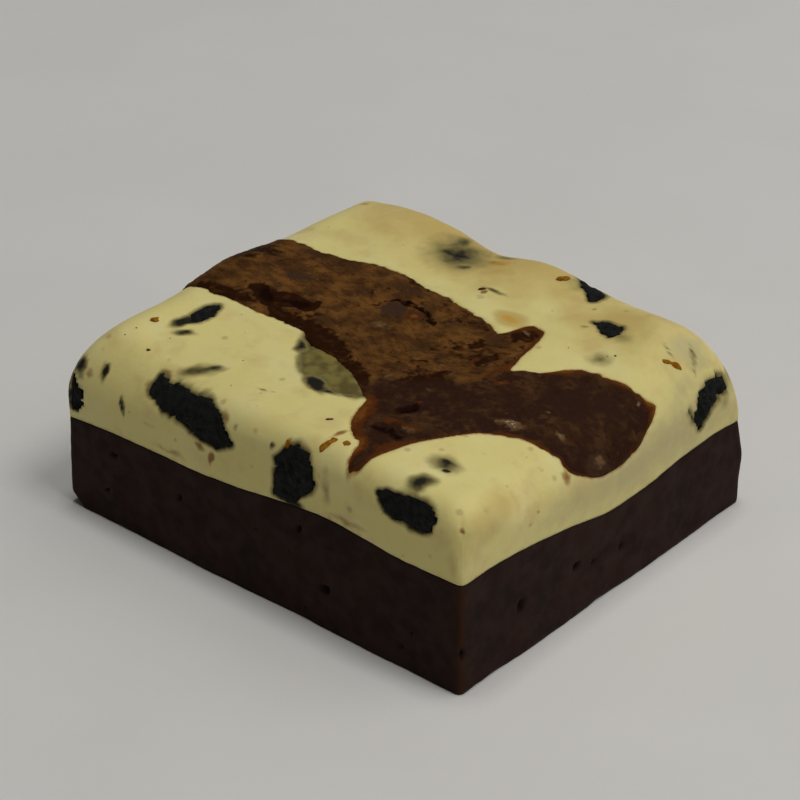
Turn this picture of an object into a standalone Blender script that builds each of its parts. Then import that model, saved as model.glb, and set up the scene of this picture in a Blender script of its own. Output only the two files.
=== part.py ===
"""A cheesecake brownie square: dark cake below, pale cream above, a fudge swirl and cookie pieces.

Every size below is in millimetres. A mesh turns them into metres in one place, placed().
"""

import math
import random
from typing import NamedTuple

import bmesh
import bpy
from mathutils import Euler, Vector, noise

# Block: the origin is the middle of the foot, and +X runs along the longer side.
HALF_X = 31.0
HALF_Y = 26.65
CORNER_RADIUS = 0.9
FOOT_INSET = 0.3
LEAN_X = 0.055
LEAN_Y = 0.06
SIDE_WAVE = 0.2
SIDE_WAVE_LENGTH = 13.0
SIDE_WAVE_REACH = 4.0

# Gap between two touching pieces, and the step that finds the direction of the skin.
GAP = 0.3
SKIN_STEP = 0.25

# Height of the dark cake at equal steps along its four sides, from -X to +X or from -Y to +Y.
CAKE_FRONT = (12.5, 13.1, 13.3, 13.3, 13.8, 14.7, 15.3, 15.0, 14.6, 14.8)
CAKE_RIGHT = (14.8, 14.8, 14.2, 13.0, 11.7, 11.7, 12.2, 12.7, 12.1)
CAKE_BACK = (12.9, 13.4, 13.2, 12.4, 12.7, 13.4, 13.3, 12.1)
CAKE_LEFT = (12.5, 13.2, 13.0, 12.5, 12.9, 13.4, 12.9)

# Upper edges of the cream: the radius along each side, and where it grows at a corner.
ROUND_LEFT = 5.7
ROUND_RIGHT = 5.85
ROUND_FRONT = 3.2
ROUND_FRONT_LEFT = 5.0
ROUND_FRONT_REACH = 22.0
ROUND_BACK = 3.8
ROUND_CORNER_FRONT = 3.2
ROUND_CORNER_FRONT_REACH = 20.0
ROUND_CORNER_LEFT = 8.0
ROUND_CORNER_RIGHT = 12.0
ROUND_CORNER_REACH = 9.0
ROUND_BLEND = 2.4
CREAM_LEVEL = 24.05
CREAM_LEAST = 1.2


class Swell(NamedTuple):
    """A soft rise or dip of the cream's top.

    Attributes:
        x: Middle along X.
        y: Middle along Y.
        reach_x: How far it spreads along X.
        reach_y: How far it spreads along Y.
        height: Its rise, below 0 for a dip.
    """

    x: float
    y: float
    reach_x: float
    reach_y: float
    height: float


HUMP_UNDER_SWIRL = Swell(-28.0, -1.0, 8.0, 5.0, 1.3)
SAG_UNDER_RIGHT_LOBE = Swell(29.0, 2.0, 6.0, 9.0, -2.05)
SAG_BESIDE_RIGHT_LOBE = Swell(29.0, -15.0, 6.0, 5.0, -1.75)
SAG_AT_FRONT = Swell(-18.0, -27.0, 9.0, 5.0, -2.0)
LIP_AT_FRONT_LEFT = Swell(-29.0, -22.0, 5.0, 5.0, 0.85)
PILLOW_IN_FRONT = Swell(14.0, -12.0, 9.0, 8.0, 0.25)
RISE_AT_BACK_LEFT = Swell(-19.0, 25.0, 7.0, 7.0, 0.9)
DIP_AT_BACK_CORNER = Swell(-30.0, 26.0, 5.0, 6.0, -0.85)
NOTCH_AT_BACK = Swell(-6.0, 25.0, 3.3, 6.0, -1.0)
BUMP_AT_BACK = Swell(2.5, 25.0, 4.0, 6.0, 0.65)
DIP_AT_BACK = Swell(14.5, 24.0, 3.5, 6.0, -0.3)
RISE_AT_BACK_RIGHT = Swell(29.0, 23.0, 7.0, 7.0, 2.0)
CREAM_SWELLS = (
    HUMP_UNDER_SWIRL,
    SAG_UNDER_RIGHT_LOBE,
    SAG_BESIDE_RIGHT_LOBE,
    SAG_AT_FRONT,
    LIP_AT_FRONT_LEFT,
    PILLOW_IN_FRONT,
    RISE_AT_BACK_LEFT,
    DIP_AT_BACK_CORNER,
    NOTCH_AT_BACK,
    BUMP_AT_BACK,
    DIP_AT_BACK,
    RISE_AT_BACK_RIGHT,
)

# Swirl edges as (distance along the top, y): the distance goes on down the rounded ends.
SWIRL_SOUTH = (
    (-34.0, -4.5),
    (-31.0, -9.4),
    (-27.0, -9.9),
    (-17.0, -7.8),
    (-7.0, -9.4),
    (6.0, -14.8),
    (11.5, -23.0),
    (14.8, -26.2),
    (17.6, -18.0),
    (22.0, -10.8),
    (27.0, -8.3),
    (31.0, -7.8),
    (34.6, -0.6),
)
SWIRL_NORTH = (
    (-34.0, 5.0),
    (-31.0, 9.0),
    (-13.0, 11.5),
    (3.0, 8.8),
    (8.2, 7.4),
    (10.6, 11.2),
    (12.4, 10.6),
    (15.2, 2.3),
    (18.0, 4.2),
    (23.0, 9.2),
    (30.4, 10.7),
    (34.6, 3.0),
)
SWIRL_DEPTH = 2.6
SWIRL_RISE = 0.35
SWIRL_FULL_WIDTH = 9.0
SWIRL_TIP_CELLS = 2.0
SWIRL_RIM_POWER = 3
SWIRL_POCKET_PROUD = 2.5
SWIRL_CELLS_ALONG = 46
SWIRL_CELLS_ACROSS = 8


class Cookie(NamedTuple):
    """A piece of dark cookie set in the cream.

    Attributes:
        name: Object name.
        middle: Its middle.
        halves: Half its size along each of its own axes.
        turns: Turns in degrees about X, Y and Z.
        seed: Seed of its broken shape.
    """

    name: str
    middle: tuple
    halves: tuple
    turns: tuple
    seed: int


COOKIES = (
    Cookie("cookie_piece_01", (-9.8, -25.3, 21.0), (7.0, 3.2, 2.5), (0, 7, 0), 3),
    Cookie("cookie_piece_02", (6.1, -25.2, 18.9), (2.9, 3.2, 4.3), (0, 9, 0), 5),
    Cookie("cookie_piece_03", (22.8, -25.2, 21.3), (4.4, 2.8, 2.1), (0, -8, 0), 8),
    Cookie("cookie_piece_04", (-29.6, -25.8, 15.9), (2.4, 2.4, 2.6), (0, 0, 20), 13),
    Cookie("cookie_piece_05", (-21.6, -13.2, 24.2), (2.2, 3.0, 1.6), (0, 0, -15), 21),
    Cookie("cookie_piece_06", (9.4, 23.2, 23.2), (2.5, 3.0, 2.0), (-20, 0, 12), 34),
    Cookie("cookie_piece_07", (17.9, 17.6, 23.6), (2.5, 1.8, 1.4), (0, 8, 35), 55),
    Cookie("cookie_piece_08", (29.8, 19.2, 17.4), (2.4, 2.5, 3.7), (-38, 0, 0), 89),
    Cookie("cookie_piece_09", (-29.9, 15.5, 17.9), (2.8, 3.9, 2.4), (12, 0, 0), 144),
    Cookie("cookie_piece_10", (-15.0, 25.6, 19.2), (4.3, 2.6, 2.3), (0, -10, 0), 233),
    Cookie("cookie_piece_11", (22.4, 24.3, 19.6), (2.5, 2.9, 2.8), (0, 14, 0), 377),
)
COOKIE_RISE = 0.2
COOKIE_BOXINESS = 0.75
COOKIE_CHIPS = 0.14

# Mesh cells: over the flat of each layer, over each rounded edge, and up the sides.
CREAM_CELLS = (20, 17)
CREAM_ROWS = (0.0, 0.35, 0.7, 1.0)
CAKE_CELLS = (14, 12)
CAKE_ROWS = (0.0, 0.03, 0.35, 0.7, 1.0)
CAKE_EDGE = 3.0
ROUND_CELLS = 4


def ease(value):
    """Return a smooth step from 0 to 1 for a value from 0 to 1."""
    held = min(max(value, 0.0), 1.0)
    return held * held * (3.0 - 2.0 * held)


def through(stations, place):
    """Return the height at a place of a smooth curve through (place, height) stations."""
    last = len(stations) - 1
    at = 0
    while at < last - 1 and place > stations[at + 1][0]:
        at += 1
    slopes = []
    for index in (at, at + 1):
        before = stations[max(index - 1, 0)]
        after = stations[min(index + 1, last)]
        slopes.append((after[1] - before[1]) / (after[0] - before[0]))
    start, end = stations[at], stations[at + 1]
    width = end[0] - start[0]
    part = min(max((place - start[0]) / width, 0.0), 1.0)
    rise = ease(part)
    value = start[1] * (1.0 - rise) + end[1] * rise
    value += slopes[0] * width * part * (1.0 - part) ** 2
    value -= slopes[1] * width * part * part * (1.0 - part)
    return value


def side_height(heights, part):
    """Return a height on one side, from equal steps and a share of its length."""
    count = len(heights) - 1
    stations = [(step / count, height) for step, height in enumerate(heights)]
    return through(stations, part)


def cake_top(x, y):
    """Return the top of the dark cake, blended between its four sides."""
    u = min(max((x + HALF_X) / (2.0 * HALF_X), 0.0), 1.0)
    v = min(max((y + HALF_Y) / (2.0 * HALF_Y), 0.0), 1.0)
    across = (1.0 - v) * side_height(CAKE_FRONT, u) + v * side_height(CAKE_BACK, u)
    along = (1.0 - u) * side_height(CAKE_LEFT, v) + u * side_height(CAKE_RIGHT, v)
    low = (1.0 - u) * CAKE_FRONT[0] + u * CAKE_FRONT[-1]
    high = (1.0 - u) * CAKE_BACK[0] + u * CAKE_BACK[-1]
    return across + along - (1.0 - v) * low - v * high


def fall(inset, radius):
    """Return how far a rounded edge lies below its flat, at an inset from the side."""
    part = min(max(1.0 - inset / radius, 0.0), 1.0)
    return radius * (1.0 - math.sqrt(1.0 - part * part))


def near(x, y, corner_x, corner_y):
    """Return 1 at a corner, fading to 0 away from it."""
    away = ((x - corner_x) ** 2 + (y - corner_y) ** 2) / ROUND_CORNER_REACH**2
    return math.exp(-0.5 * away)


def cream_top(x, y):
    """Return the top of the cream, with its rounded edges."""
    flat = CREAM_LEVEL
    for mid_x, mid_y, reach_x, reach_y, height in CREAM_SWELLS:
        away = ((x - mid_x) / reach_x) ** 2 + ((y - mid_y) / reach_y) ** 2
        flat += height * math.exp(-0.5 * away)
    at_left = near(x, y, -HALF_X, -HALF_Y)
    at_right = near(x, y, HALF_X, HALF_Y)
    left = ROUND_LEFT + (ROUND_CORNER_LEFT - ROUND_LEFT) * at_left
    front = ROUND_FRONT_LEFT
    front += (ROUND_FRONT - ROUND_FRONT_LEFT) * ease((x + HALF_X) / ROUND_FRONT_REACH)
    front += (ROUND_CORNER_LEFT - front) * at_left
    right = ROUND_CORNER_FRONT
    right += (ROUND_RIGHT - ROUND_CORNER_FRONT) * ease((y + HALF_Y) / ROUND_CORNER_FRONT_REACH)
    right += (ROUND_CORNER_RIGHT - right) * at_right
    back = ROUND_BACK + (ROUND_CORNER_RIGHT - ROUND_BACK) * at_right
    fall_x = fall(HALF_X + x, left) + fall(HALF_X - x, right)
    fall_y = fall(HALF_Y + y, front) + fall(HALF_Y - y, back)
    drop = (fall_x**ROUND_BLEND + fall_y**ROUND_BLEND) ** (1.0 / ROUND_BLEND)
    return max(flat - drop, cake_top(x, y) + CREAM_LEAST)


def placed(x, y, z):
    """Return a point in metres, with the worn corners, wavy sides and lean of the cut block."""
    over_x = abs(x) - (HALF_X - CORNER_RADIUS)
    over_y = abs(y) - (HALF_Y - CORNER_RADIUS)
    if over_x > 0.0 and over_y > 0.0:
        share = max(over_x, over_y) / math.hypot(over_x, over_y)
        x = math.copysign(HALF_X - CORNER_RADIUS + over_x * share, x)
        y = math.copysign(HALF_Y - CORNER_RADIUS + over_y * share, y)
    edge_x = ease((abs(x) - HALF_X + SIDE_WAVE_REACH) / SIDE_WAVE_REACH)
    edge_y = ease((abs(y) - HALF_Y + SIDE_WAVE_REACH) / SIDE_WAVE_REACH)
    spot = Vector((x, y, z)) / SIDE_WAVE_LENGTH
    swell = SIDE_WAVE * noise.noise(spot)
    x += math.copysign(1.0, x) * swell * edge_x
    y += math.copysign(1.0, y) * swell * edge_y
    x += LEAN_X * z * (HALF_X - x) / (2.0 * HALF_X)
    y -= LEAN_Y * z * (HALF_Y + y) / (2.0 * HALF_Y)
    return Vector((x, y, z)) * 0.001


def grid_lines(half, radius, cells):
    """Return line positions from -half to half, close together over the rounded ends."""
    ends = []
    for step in range(ROUND_CELLS + 1):
        angle = 0.5 * math.pi * step / ROUND_CELLS
        ends.append(radius * (1.0 - math.cos(angle)))
    start = [end - half for end in ends]
    flat = 2.0 * (half - radius)
    middle = [radius - half + flat * step / cells for step in range(1, cells)]
    return start + middle + [-line for line in reversed(start)]


def material(name, color, roughness):
    """Return a Principled material."""
    made = bpy.data.materials.new(name)
    made.use_nodes = True
    shader = made.node_tree.nodes["Principled BSDF"]
    shader.inputs["Base Color"].default_value = (*color, 1.0)
    shader.inputs["Roughness"].default_value = roughness
    return made


def object_of(name, builder, finish):
    """Return a new object from a filled bmesh, with its faces turned outwards."""
    bmesh.ops.recalc_face_normals(builder, faces=builder.faces[:])
    mesh = bpy.data.meshes.new(name)
    builder.to_mesh(mesh)
    builder.free()
    mesh.materials.append(finish)
    mesh.shade_smooth()
    mesh.set_sharp_from_angle(angle=math.radians(40.0))
    made = bpy.data.objects.new(name, mesh)
    bpy.context.scene.collection.objects.link(made)
    return made


def lifted_grid(cells_x, cells_y, rows):
    """Return a bmesh slab over a grid, extruded row by row, at (0 to 1, 0 to 1, row)."""
    builder = bmesh.new()
    bmesh.ops.create_grid(builder, x_segments=cells_x, y_segments=cells_y, size=0.5)
    bmesh.ops.translate(builder, verts=builder.verts[:], vec=(0.5, 0.5, 0.0))
    sheet = builder.faces[:]
    for index in range(1, len(rows)):
        under = sheet
        made = bmesh.ops.extrude_face_region(builder, geom=under, use_keep_orig=True)
        sheet = [part for part in made["geom"] if isinstance(part, bmesh.types.BMFace)]
        if index > 1:
            bmesh.ops.delete(builder, geom=under, context="FACES")
        for vert in {vert for face in sheet for vert in face.verts}:
            vert.co.z = rows[index]
    return builder


def block(name, cells, radii, rows, bottom, top, finish, foot=0.0, grow=0.0):
    """Return a closed block between two height functions."""
    lines_x = grid_lines(HALF_X, radii[0], cells[0])
    lines_y = grid_lines(HALF_Y, radii[1], cells[1])
    last_x = len(lines_x) - 1
    last_y = len(lines_y) - 1
    builder = lifted_grid(last_x, last_y, rows)
    for vert in builder.verts:
        i, j = round(vert.co.x * last_x), round(vert.co.y * last_y)
        x, y = lines_x[i], lines_y[j]
        z = bottom(x, y) + (top(x, y) - bottom(x, y)) * vert.co.z
        inset = foot if vert.co.z == 0.0 else 0.0
        if i in (0, last_x):
            x = math.copysign(abs(x) - inset, x)
        if j in (0, last_y):
            y = math.copysign(abs(y) - inset, y)
        x *= 1.0 + grow / HALF_X
        y *= 1.0 + grow / HALF_Y
        vert.co = placed(x, y, z)
    return object_of(name, builder, finish)


def along_top(distance):
    """Return (x, extra depth) for a distance along the top that goes on over the ends."""
    radius = ROUND_LEFT if distance < 0.0 else ROUND_RIGHT
    flat = HALF_X - radius
    past = abs(distance) - flat
    if past <= 0.0:
        return distance, 0.0
    angle = min(past / radius, 0.5 * math.pi)
    down = max(past - radius * 0.5 * math.pi, 0.0)
    return math.copysign(flat + radius * math.sin(angle), distance), down


def skin_point(distance, y, lift):
    """Return the point on the cream's skin, raised along the outward normal."""
    x, down = along_top(distance)
    spot = Vector((x, y, cream_top(x, y) - down))
    ahead_x, ahead_down = along_top(distance + SKIN_STEP)
    behind_x, behind_down = along_top(distance - SKIN_STEP)
    ahead = Vector((ahead_x, y, cream_top(ahead_x, y) - ahead_down))
    behind = Vector((behind_x, y, cream_top(behind_x, y) - behind_down))
    low_y = max(y - SKIN_STEP, -HALF_Y)
    high_y = min(y + SKIN_STEP, HALF_Y)
    side = Vector((0.0, high_y - low_y, cream_top(x, high_y) - cream_top(x, low_y)))
    normal = (ahead - behind).cross(side).normalized()
    return spot + normal * lift


def swirl(name, finish, grow=0.0, proud=None):
    """Return the fudge swirl as a lens on the skin, or a grown cutter that stands proud."""
    builder = lifted_grid(SWIRL_CELLS_ALONG, SWIRL_CELLS_ACROSS, (0.0, 1.0))
    start = SWIRL_SOUTH[0][0] - grow
    end = SWIRL_SOUTH[-1][0] + grow
    for vert in builder.verts:
        share, across, is_top = vert.co
        distance = start + (end - start) * share
        south = through(SWIRL_SOUTH, distance) - grow
        north = through(SWIRL_NORTH, distance) + grow
        tip = min(share, 1.0 - share) * SWIRL_CELLS_ALONG / SWIRL_TIP_CELLS
        taper = math.sqrt(min(max(tip, 0.0), 1.0))
        taper *= min((north - south) / SWIRL_FULL_WIDTH, 1.0)
        part = 0.5 - 0.5 * math.cos(math.pi * across)
        lens = taper * (1.0 - abs(2.0 * part - 1.0) ** SWIRL_RIM_POWER)
        lift = -SWIRL_DEPTH * lens - grow
        if is_top:
            lift = SWIRL_RISE * lens if proud is None else proud
        vert.co = placed(*skin_point(distance, south + (north - south) * part, lift))
    bmesh.ops.remove_doubles(builder, verts=builder.verts[:], dist=1e-7)
    return object_of(name, builder, finish)


def chunk(piece, finish, grow=0.0, suffix=""):
    """Return a cookie piece as a broken convex lump, before the skin trims it."""
    picker = random.Random(piece.seed)
    turn = Euler([math.radians(angle) for angle in piece.turns]).to_matrix()
    builder = bmesh.new()
    bmesh.ops.create_icosphere(builder, subdivisions=2, radius=1.0)
    for vert in builder.verts:
        way = vert.co / max(abs(part) for part in vert.co) ** COOKIE_BOXINESS
        way *= 1.0 - COOKIE_CHIPS * picker.random()
        spot = Vector([way[axis] * (piece.halves[axis] + grow) for axis in range(3)])
        vert.co = placed(*(turn @ spot + Vector(piece.middle)))
    hull = bmesh.ops.convex_hull(builder, input=builder.verts[:])
    old = [face for face in builder.faces if face not in set(hull["geom"])]
    bmesh.ops.delete(builder, geom=old, context="FACES_ONLY")
    loose = [vert for vert in builder.verts if not vert.link_faces]
    bmesh.ops.delete(builder, geom=loose, context="VERTS")
    return object_of(piece.name + suffix, builder, finish)


def helper(made):
    """Hide and return an object that only cuts or trims another one."""
    made.hide_render = True
    made.display_type = "WIRE"
    return made


def combine(target, other, operation):
    """Add a Boolean modifier to the target."""
    modifier = target.modifiers.new(other.name, "BOOLEAN")
    modifier.operation = operation
    modifier.object = other
    modifier.solver = "EXACT"


def foot_height(x, y):
    """Return the level underside of the cake."""
    return 0.0


def cream_floor(x, y):
    """Return the cream's underside."""
    return cake_top(x, y) + GAP


def trim_top(x, y):
    """Return the skin that trims the cookie pieces."""
    return cream_top(x, y) + COOKIE_RISE


def main():
    """Build every piece of the brownie."""
    for old in list(bpy.data.objects):
        bpy.data.objects.remove(old)
    cake = material("dark_cake", (0.048, 0.025, 0.02), 0.75)
    cream = material("pale_cream", (0.85, 0.75, 0.33), 0.5)
    fudge = material("fudge", (0.074, 0.03, 0.012), 0.45)
    crumb = material("dark_cookie", (0.012, 0.011, 0.011), 0.85)

    cake_radii = (CAKE_EDGE, CAKE_EDGE)
    cream_radii = (ROUND_RIGHT, ROUND_BACK)
    block(
        "brownie_base", CAKE_CELLS, cake_radii, CAKE_ROWS, foot_height, cake_top, cake, FOOT_INSET
    )
    layer = block(
        "cheesecake_layer", CREAM_CELLS, cream_radii, CREAM_ROWS, cream_floor, cream_top, cream
    )
    skin = block(
        "trim", CREAM_CELLS, cream_radii, CREAM_ROWS, cream_floor, trim_top, cream, grow=COOKIE_RISE
    )
    helper(skin)
    swirl("fudge_swirl", fudge)
    combine(layer, helper(swirl("swirl_pocket", fudge, GAP, SWIRL_POCKET_PROUD)), "DIFFERENCE")
    for piece in COOKIES:
        combine(layer, helper(chunk(piece, crumb, GAP, "_pocket")), "DIFFERENCE")
        combine(chunk(piece, crumb), skin, "INTERSECT")

    square = bpy.data.objects.new("brownie", None)
    bpy.context.scene.collection.objects.link(square)
    for made in bpy.context.scene.collection.objects:
        if made is not square:
            made.parent = square


main()
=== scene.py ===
"""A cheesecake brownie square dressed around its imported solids: cake, cream, fudge swirl and cookie.

Shapes are worked out in millimetres, as in the part's source, and end in metres in the same frame.
"""

from __future__ import annotations

import itertools
import logging
import math
import random
from dataclasses import dataclass, field
from enum import Enum
from typing import Any

import bmesh
import bpy
import numpy as np
from mathutils import Euler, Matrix, Vector, kdtree, noise
from mathutils.bvhtree import BVHTree

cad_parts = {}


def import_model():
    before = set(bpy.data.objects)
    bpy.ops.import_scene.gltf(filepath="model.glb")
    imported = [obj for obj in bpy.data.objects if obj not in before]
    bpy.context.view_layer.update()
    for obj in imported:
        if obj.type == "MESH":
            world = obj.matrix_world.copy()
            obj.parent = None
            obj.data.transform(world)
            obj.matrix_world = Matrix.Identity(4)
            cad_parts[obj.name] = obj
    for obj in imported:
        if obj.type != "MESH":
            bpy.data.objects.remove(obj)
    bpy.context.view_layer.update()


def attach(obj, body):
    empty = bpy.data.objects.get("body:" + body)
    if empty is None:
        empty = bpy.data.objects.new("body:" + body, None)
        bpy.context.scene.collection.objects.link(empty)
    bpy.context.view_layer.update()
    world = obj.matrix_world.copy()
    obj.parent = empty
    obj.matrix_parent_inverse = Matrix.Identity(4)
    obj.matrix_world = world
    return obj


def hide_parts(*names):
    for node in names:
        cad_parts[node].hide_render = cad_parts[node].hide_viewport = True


LOG = logging.getLogger("brownie")
METRES = 0.001
BODY = "root"
STREAKS = ("band_streaks", "lobe_streaks")
SKIN_LEVEL = 24.2
SKIN_REACH = 3.0
SOCKET_KINDS = {"Vector": "NodeSocketVector", "Value": "NodeSocketFloat", "Color": "NodeSocketColor"}

Mesh = bpy.types.Mesh
Material = bpy.types.Material
NodeTree = bpy.types.NodeTree
BMesh = bmesh.types.BMesh
Array = np.ndarray
Triple = tuple[float, float, float]
Pair = tuple[float, float]
Stations = tuple[Pair, ...]


class Slot(Enum):
    """Names for material slots, which nothing in the script uses."""

    CAKE = "dark_cake"
    CREAM = "pale_cream"
    FUDGE = "fudge"
    COOKIE = "dark_cookie"


class Field(Enum):
    """Values kept on the vertices of a mesh for its finish to read."""

    STAIN = "stain"
    SMOKE = "smoke"
    WARM = "warm"
    BLEED = "bleed"
    FILM = "film"
    RIM = "rim"
    LOBE = "lobe"
    # Dry rough pale patches of the cream, and painted shade over its whole +X side.
    DRY_AND_SIDE_SHADE = "dry_and_side_shade"
    # Painted highlight on the cake's upright edges, where they catch the light, and a lighter band at its
    # foot.
    EDGE_HIGHLIGHT_AND_FOOT_BAND = "edge_highlight_and_foot_band"
    PIT = "pit"
    # Pale dry flakes of the fudge film, and painted highlights as whitish glints.
    FLAKE_AND_GLINT = "flake_and_glint"
    DUSK = "dusk"


def held(value: Array) -> Array:
    """Return values held between 0 and 1."""
    return np.clip(value, 0.0, 1.0)


def ease(value: Array) -> Array:
    """Return a smooth step from 0 to 1 for values from 0 to 1."""
    share = held(value)
    return share * share * (3.0 - 2.0 * share)


def dome(value: Array) -> Array:
    """Return the height of a round edge, from 0 at its rim to 1 where the value is 1."""
    return np.sqrt(held(1.0 - (1.0 - held(value)) ** 2))


def through(stations: Stations, place: Array) -> Array:
    """Return a smooth curve through (place, value) stations.

    Args:
        stations: Pairs of place and value, in order of place.
        place: Where the curve is read.

    Returns:
        The value at each place.
    """
    spots = np.array([station[0] for station in stations])
    values = np.array([station[1] for station in stations])
    before = np.maximum(np.arange(len(spots)) - 1, 0)
    after = np.minimum(np.arange(len(spots)) + 1, len(spots) - 1)
    slopes = (values[after] - values[before]) / (spots[after] - spots[before])
    at = np.clip(np.searchsorted(spots, place) - 1, 0, len(spots) - 2)
    width = spots[at + 1] - spots[at]
    part = np.clip((place - spots[at]) / width, 0.0, 1.0)
    rise = ease(part)
    curve = values[at] * (1.0 - rise) + values[at + 1] * rise
    curve += slopes[at] * width * part * (1.0 - part) ** 2
    return curve - slopes[at + 1] * width * part * part * (1.0 - part)


@dataclass(frozen=True)
class Haze:
    """A smooth random field over space that is the same on each run.

    Attributes:
        seed: Seed of its values.
        wave: Size of a swell in millimetres.
        strength: About its largest value.
        layers: How many fields are added, each half as large and half as strong as the last.
        cells: Cells along a side of the block of values that repeats.
        tilt: Turns of that block in radians, so that its cells don't line up with the square.
        layer_shift: How far the layers lie apart, in cells.
        axis_shift: How far the three fields of a drift lie apart, in millimetres.
    """

    seed: int
    wave: float
    strength: float = 1.0
    layers: int = 2
    cells: int = 32
    tilt: Triple = (0.5, 0.3, 0.8)
    layer_shift: float = 7.3
    axis_shift: float = 51.0

    def at(self, points: Array) -> Array:
        """Return one value for each point in millimetres, one row each."""
        values = np.random.default_rng(self.seed).uniform(-1.0, 1.0, (self.cells,) * 3)
        turn = np.array(Euler(self.tilt).to_matrix())
        total = np.zeros(len(points))
        for layer in range(self.layers):
            spots = points @ turn * (2.0**layer / self.wave) + layer * self.layer_shift
            low = np.floor(spots).astype(int)
            part = ease(spots - low)
            for corner in itertools.product((0, 1), repeat=3):
                share = np.prod(np.where(corner, part, 1.0 - part), axis=1)
                index = (low + corner) % self.cells
                total += 0.5**layer * share * values[index[:, 0], index[:, 1], index[:, 2]]
        return self.strength * total

    def drift(self, points: Array) -> Array:
        """Return the points moved about by up to its strength, to make an outline ragged."""
        moves = [self.at(points + self.axis_shift * axis) for axis in range(3)]
        return points + np.stack(moves, axis=1)


@dataclass(frozen=True)
class Swell:
    """A soft rise of the cream's top, or a dip where its height is below 0."""

    x: float
    y: float
    reach_x: float
    reach_y: float
    height: float


@dataclass(frozen=True)
class Spot:
    """An ellipsoid inside the square that stains or shapes what it reaches.

    Attributes:
        middle: Its middle in millimetres.
        reach: Half its size along each of its own axes.
        strength: Its value at the middle.
        turns: Turns in degrees about X, Y and Z.
    """

    middle: Triple
    reach: Triple
    strength: float = 1.0
    turns: Triple = (0.0, 0.0, 0.0)

    def field(self, points: Array) -> Array:
        """Return its strength at the middle, falling evenly to 0 at the rim."""
        turn = np.array(Euler([math.radians(angle) for angle in self.turns]).to_matrix())
        local = (points - np.array(self.middle)) @ turn / np.array(self.reach)
        return self.strength * held(1.0 - np.linalg.norm(local, axis=1))


def spots_at(*rows: tuple[float, ...]) -> tuple[Spot, ...]:
    """Return spots inside the square.

    Args:
        rows: Each spot's X, Y and Z, half its size along each axis, its strength, and its turns if any.

    Returns:
        The spots.
    """
    return tuple(Spot(row[:3], row[3:6], row[6], row[7:] or (0.0, 0.0, 0.0)) for row in rows)


def on_skin(*rows: tuple[float, ...]) -> tuple[Spot, ...]:
    """Return spots on the top of the cream as it lies when its rounded ends are laid flat.

    Args:
        rows: Each spot's distance along the top and Y, half its length and width, its turn and its
            strength.

    Returns:
        The spots.
    """
    return spots_at(
        *((*row[:2], SKIN_LEVEL, *row[2:4], SKIN_REACH, row[5], 0.0, 0.0, row[4]) for row in rows)
    )


def strongest(spots: tuple[Spot, ...], points: Array) -> Array:
    """Return the strongest of some spots at each point."""
    return np.max([np.zeros(len(points)), *(spot.field(points) for spot in spots)], axis=0)


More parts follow.
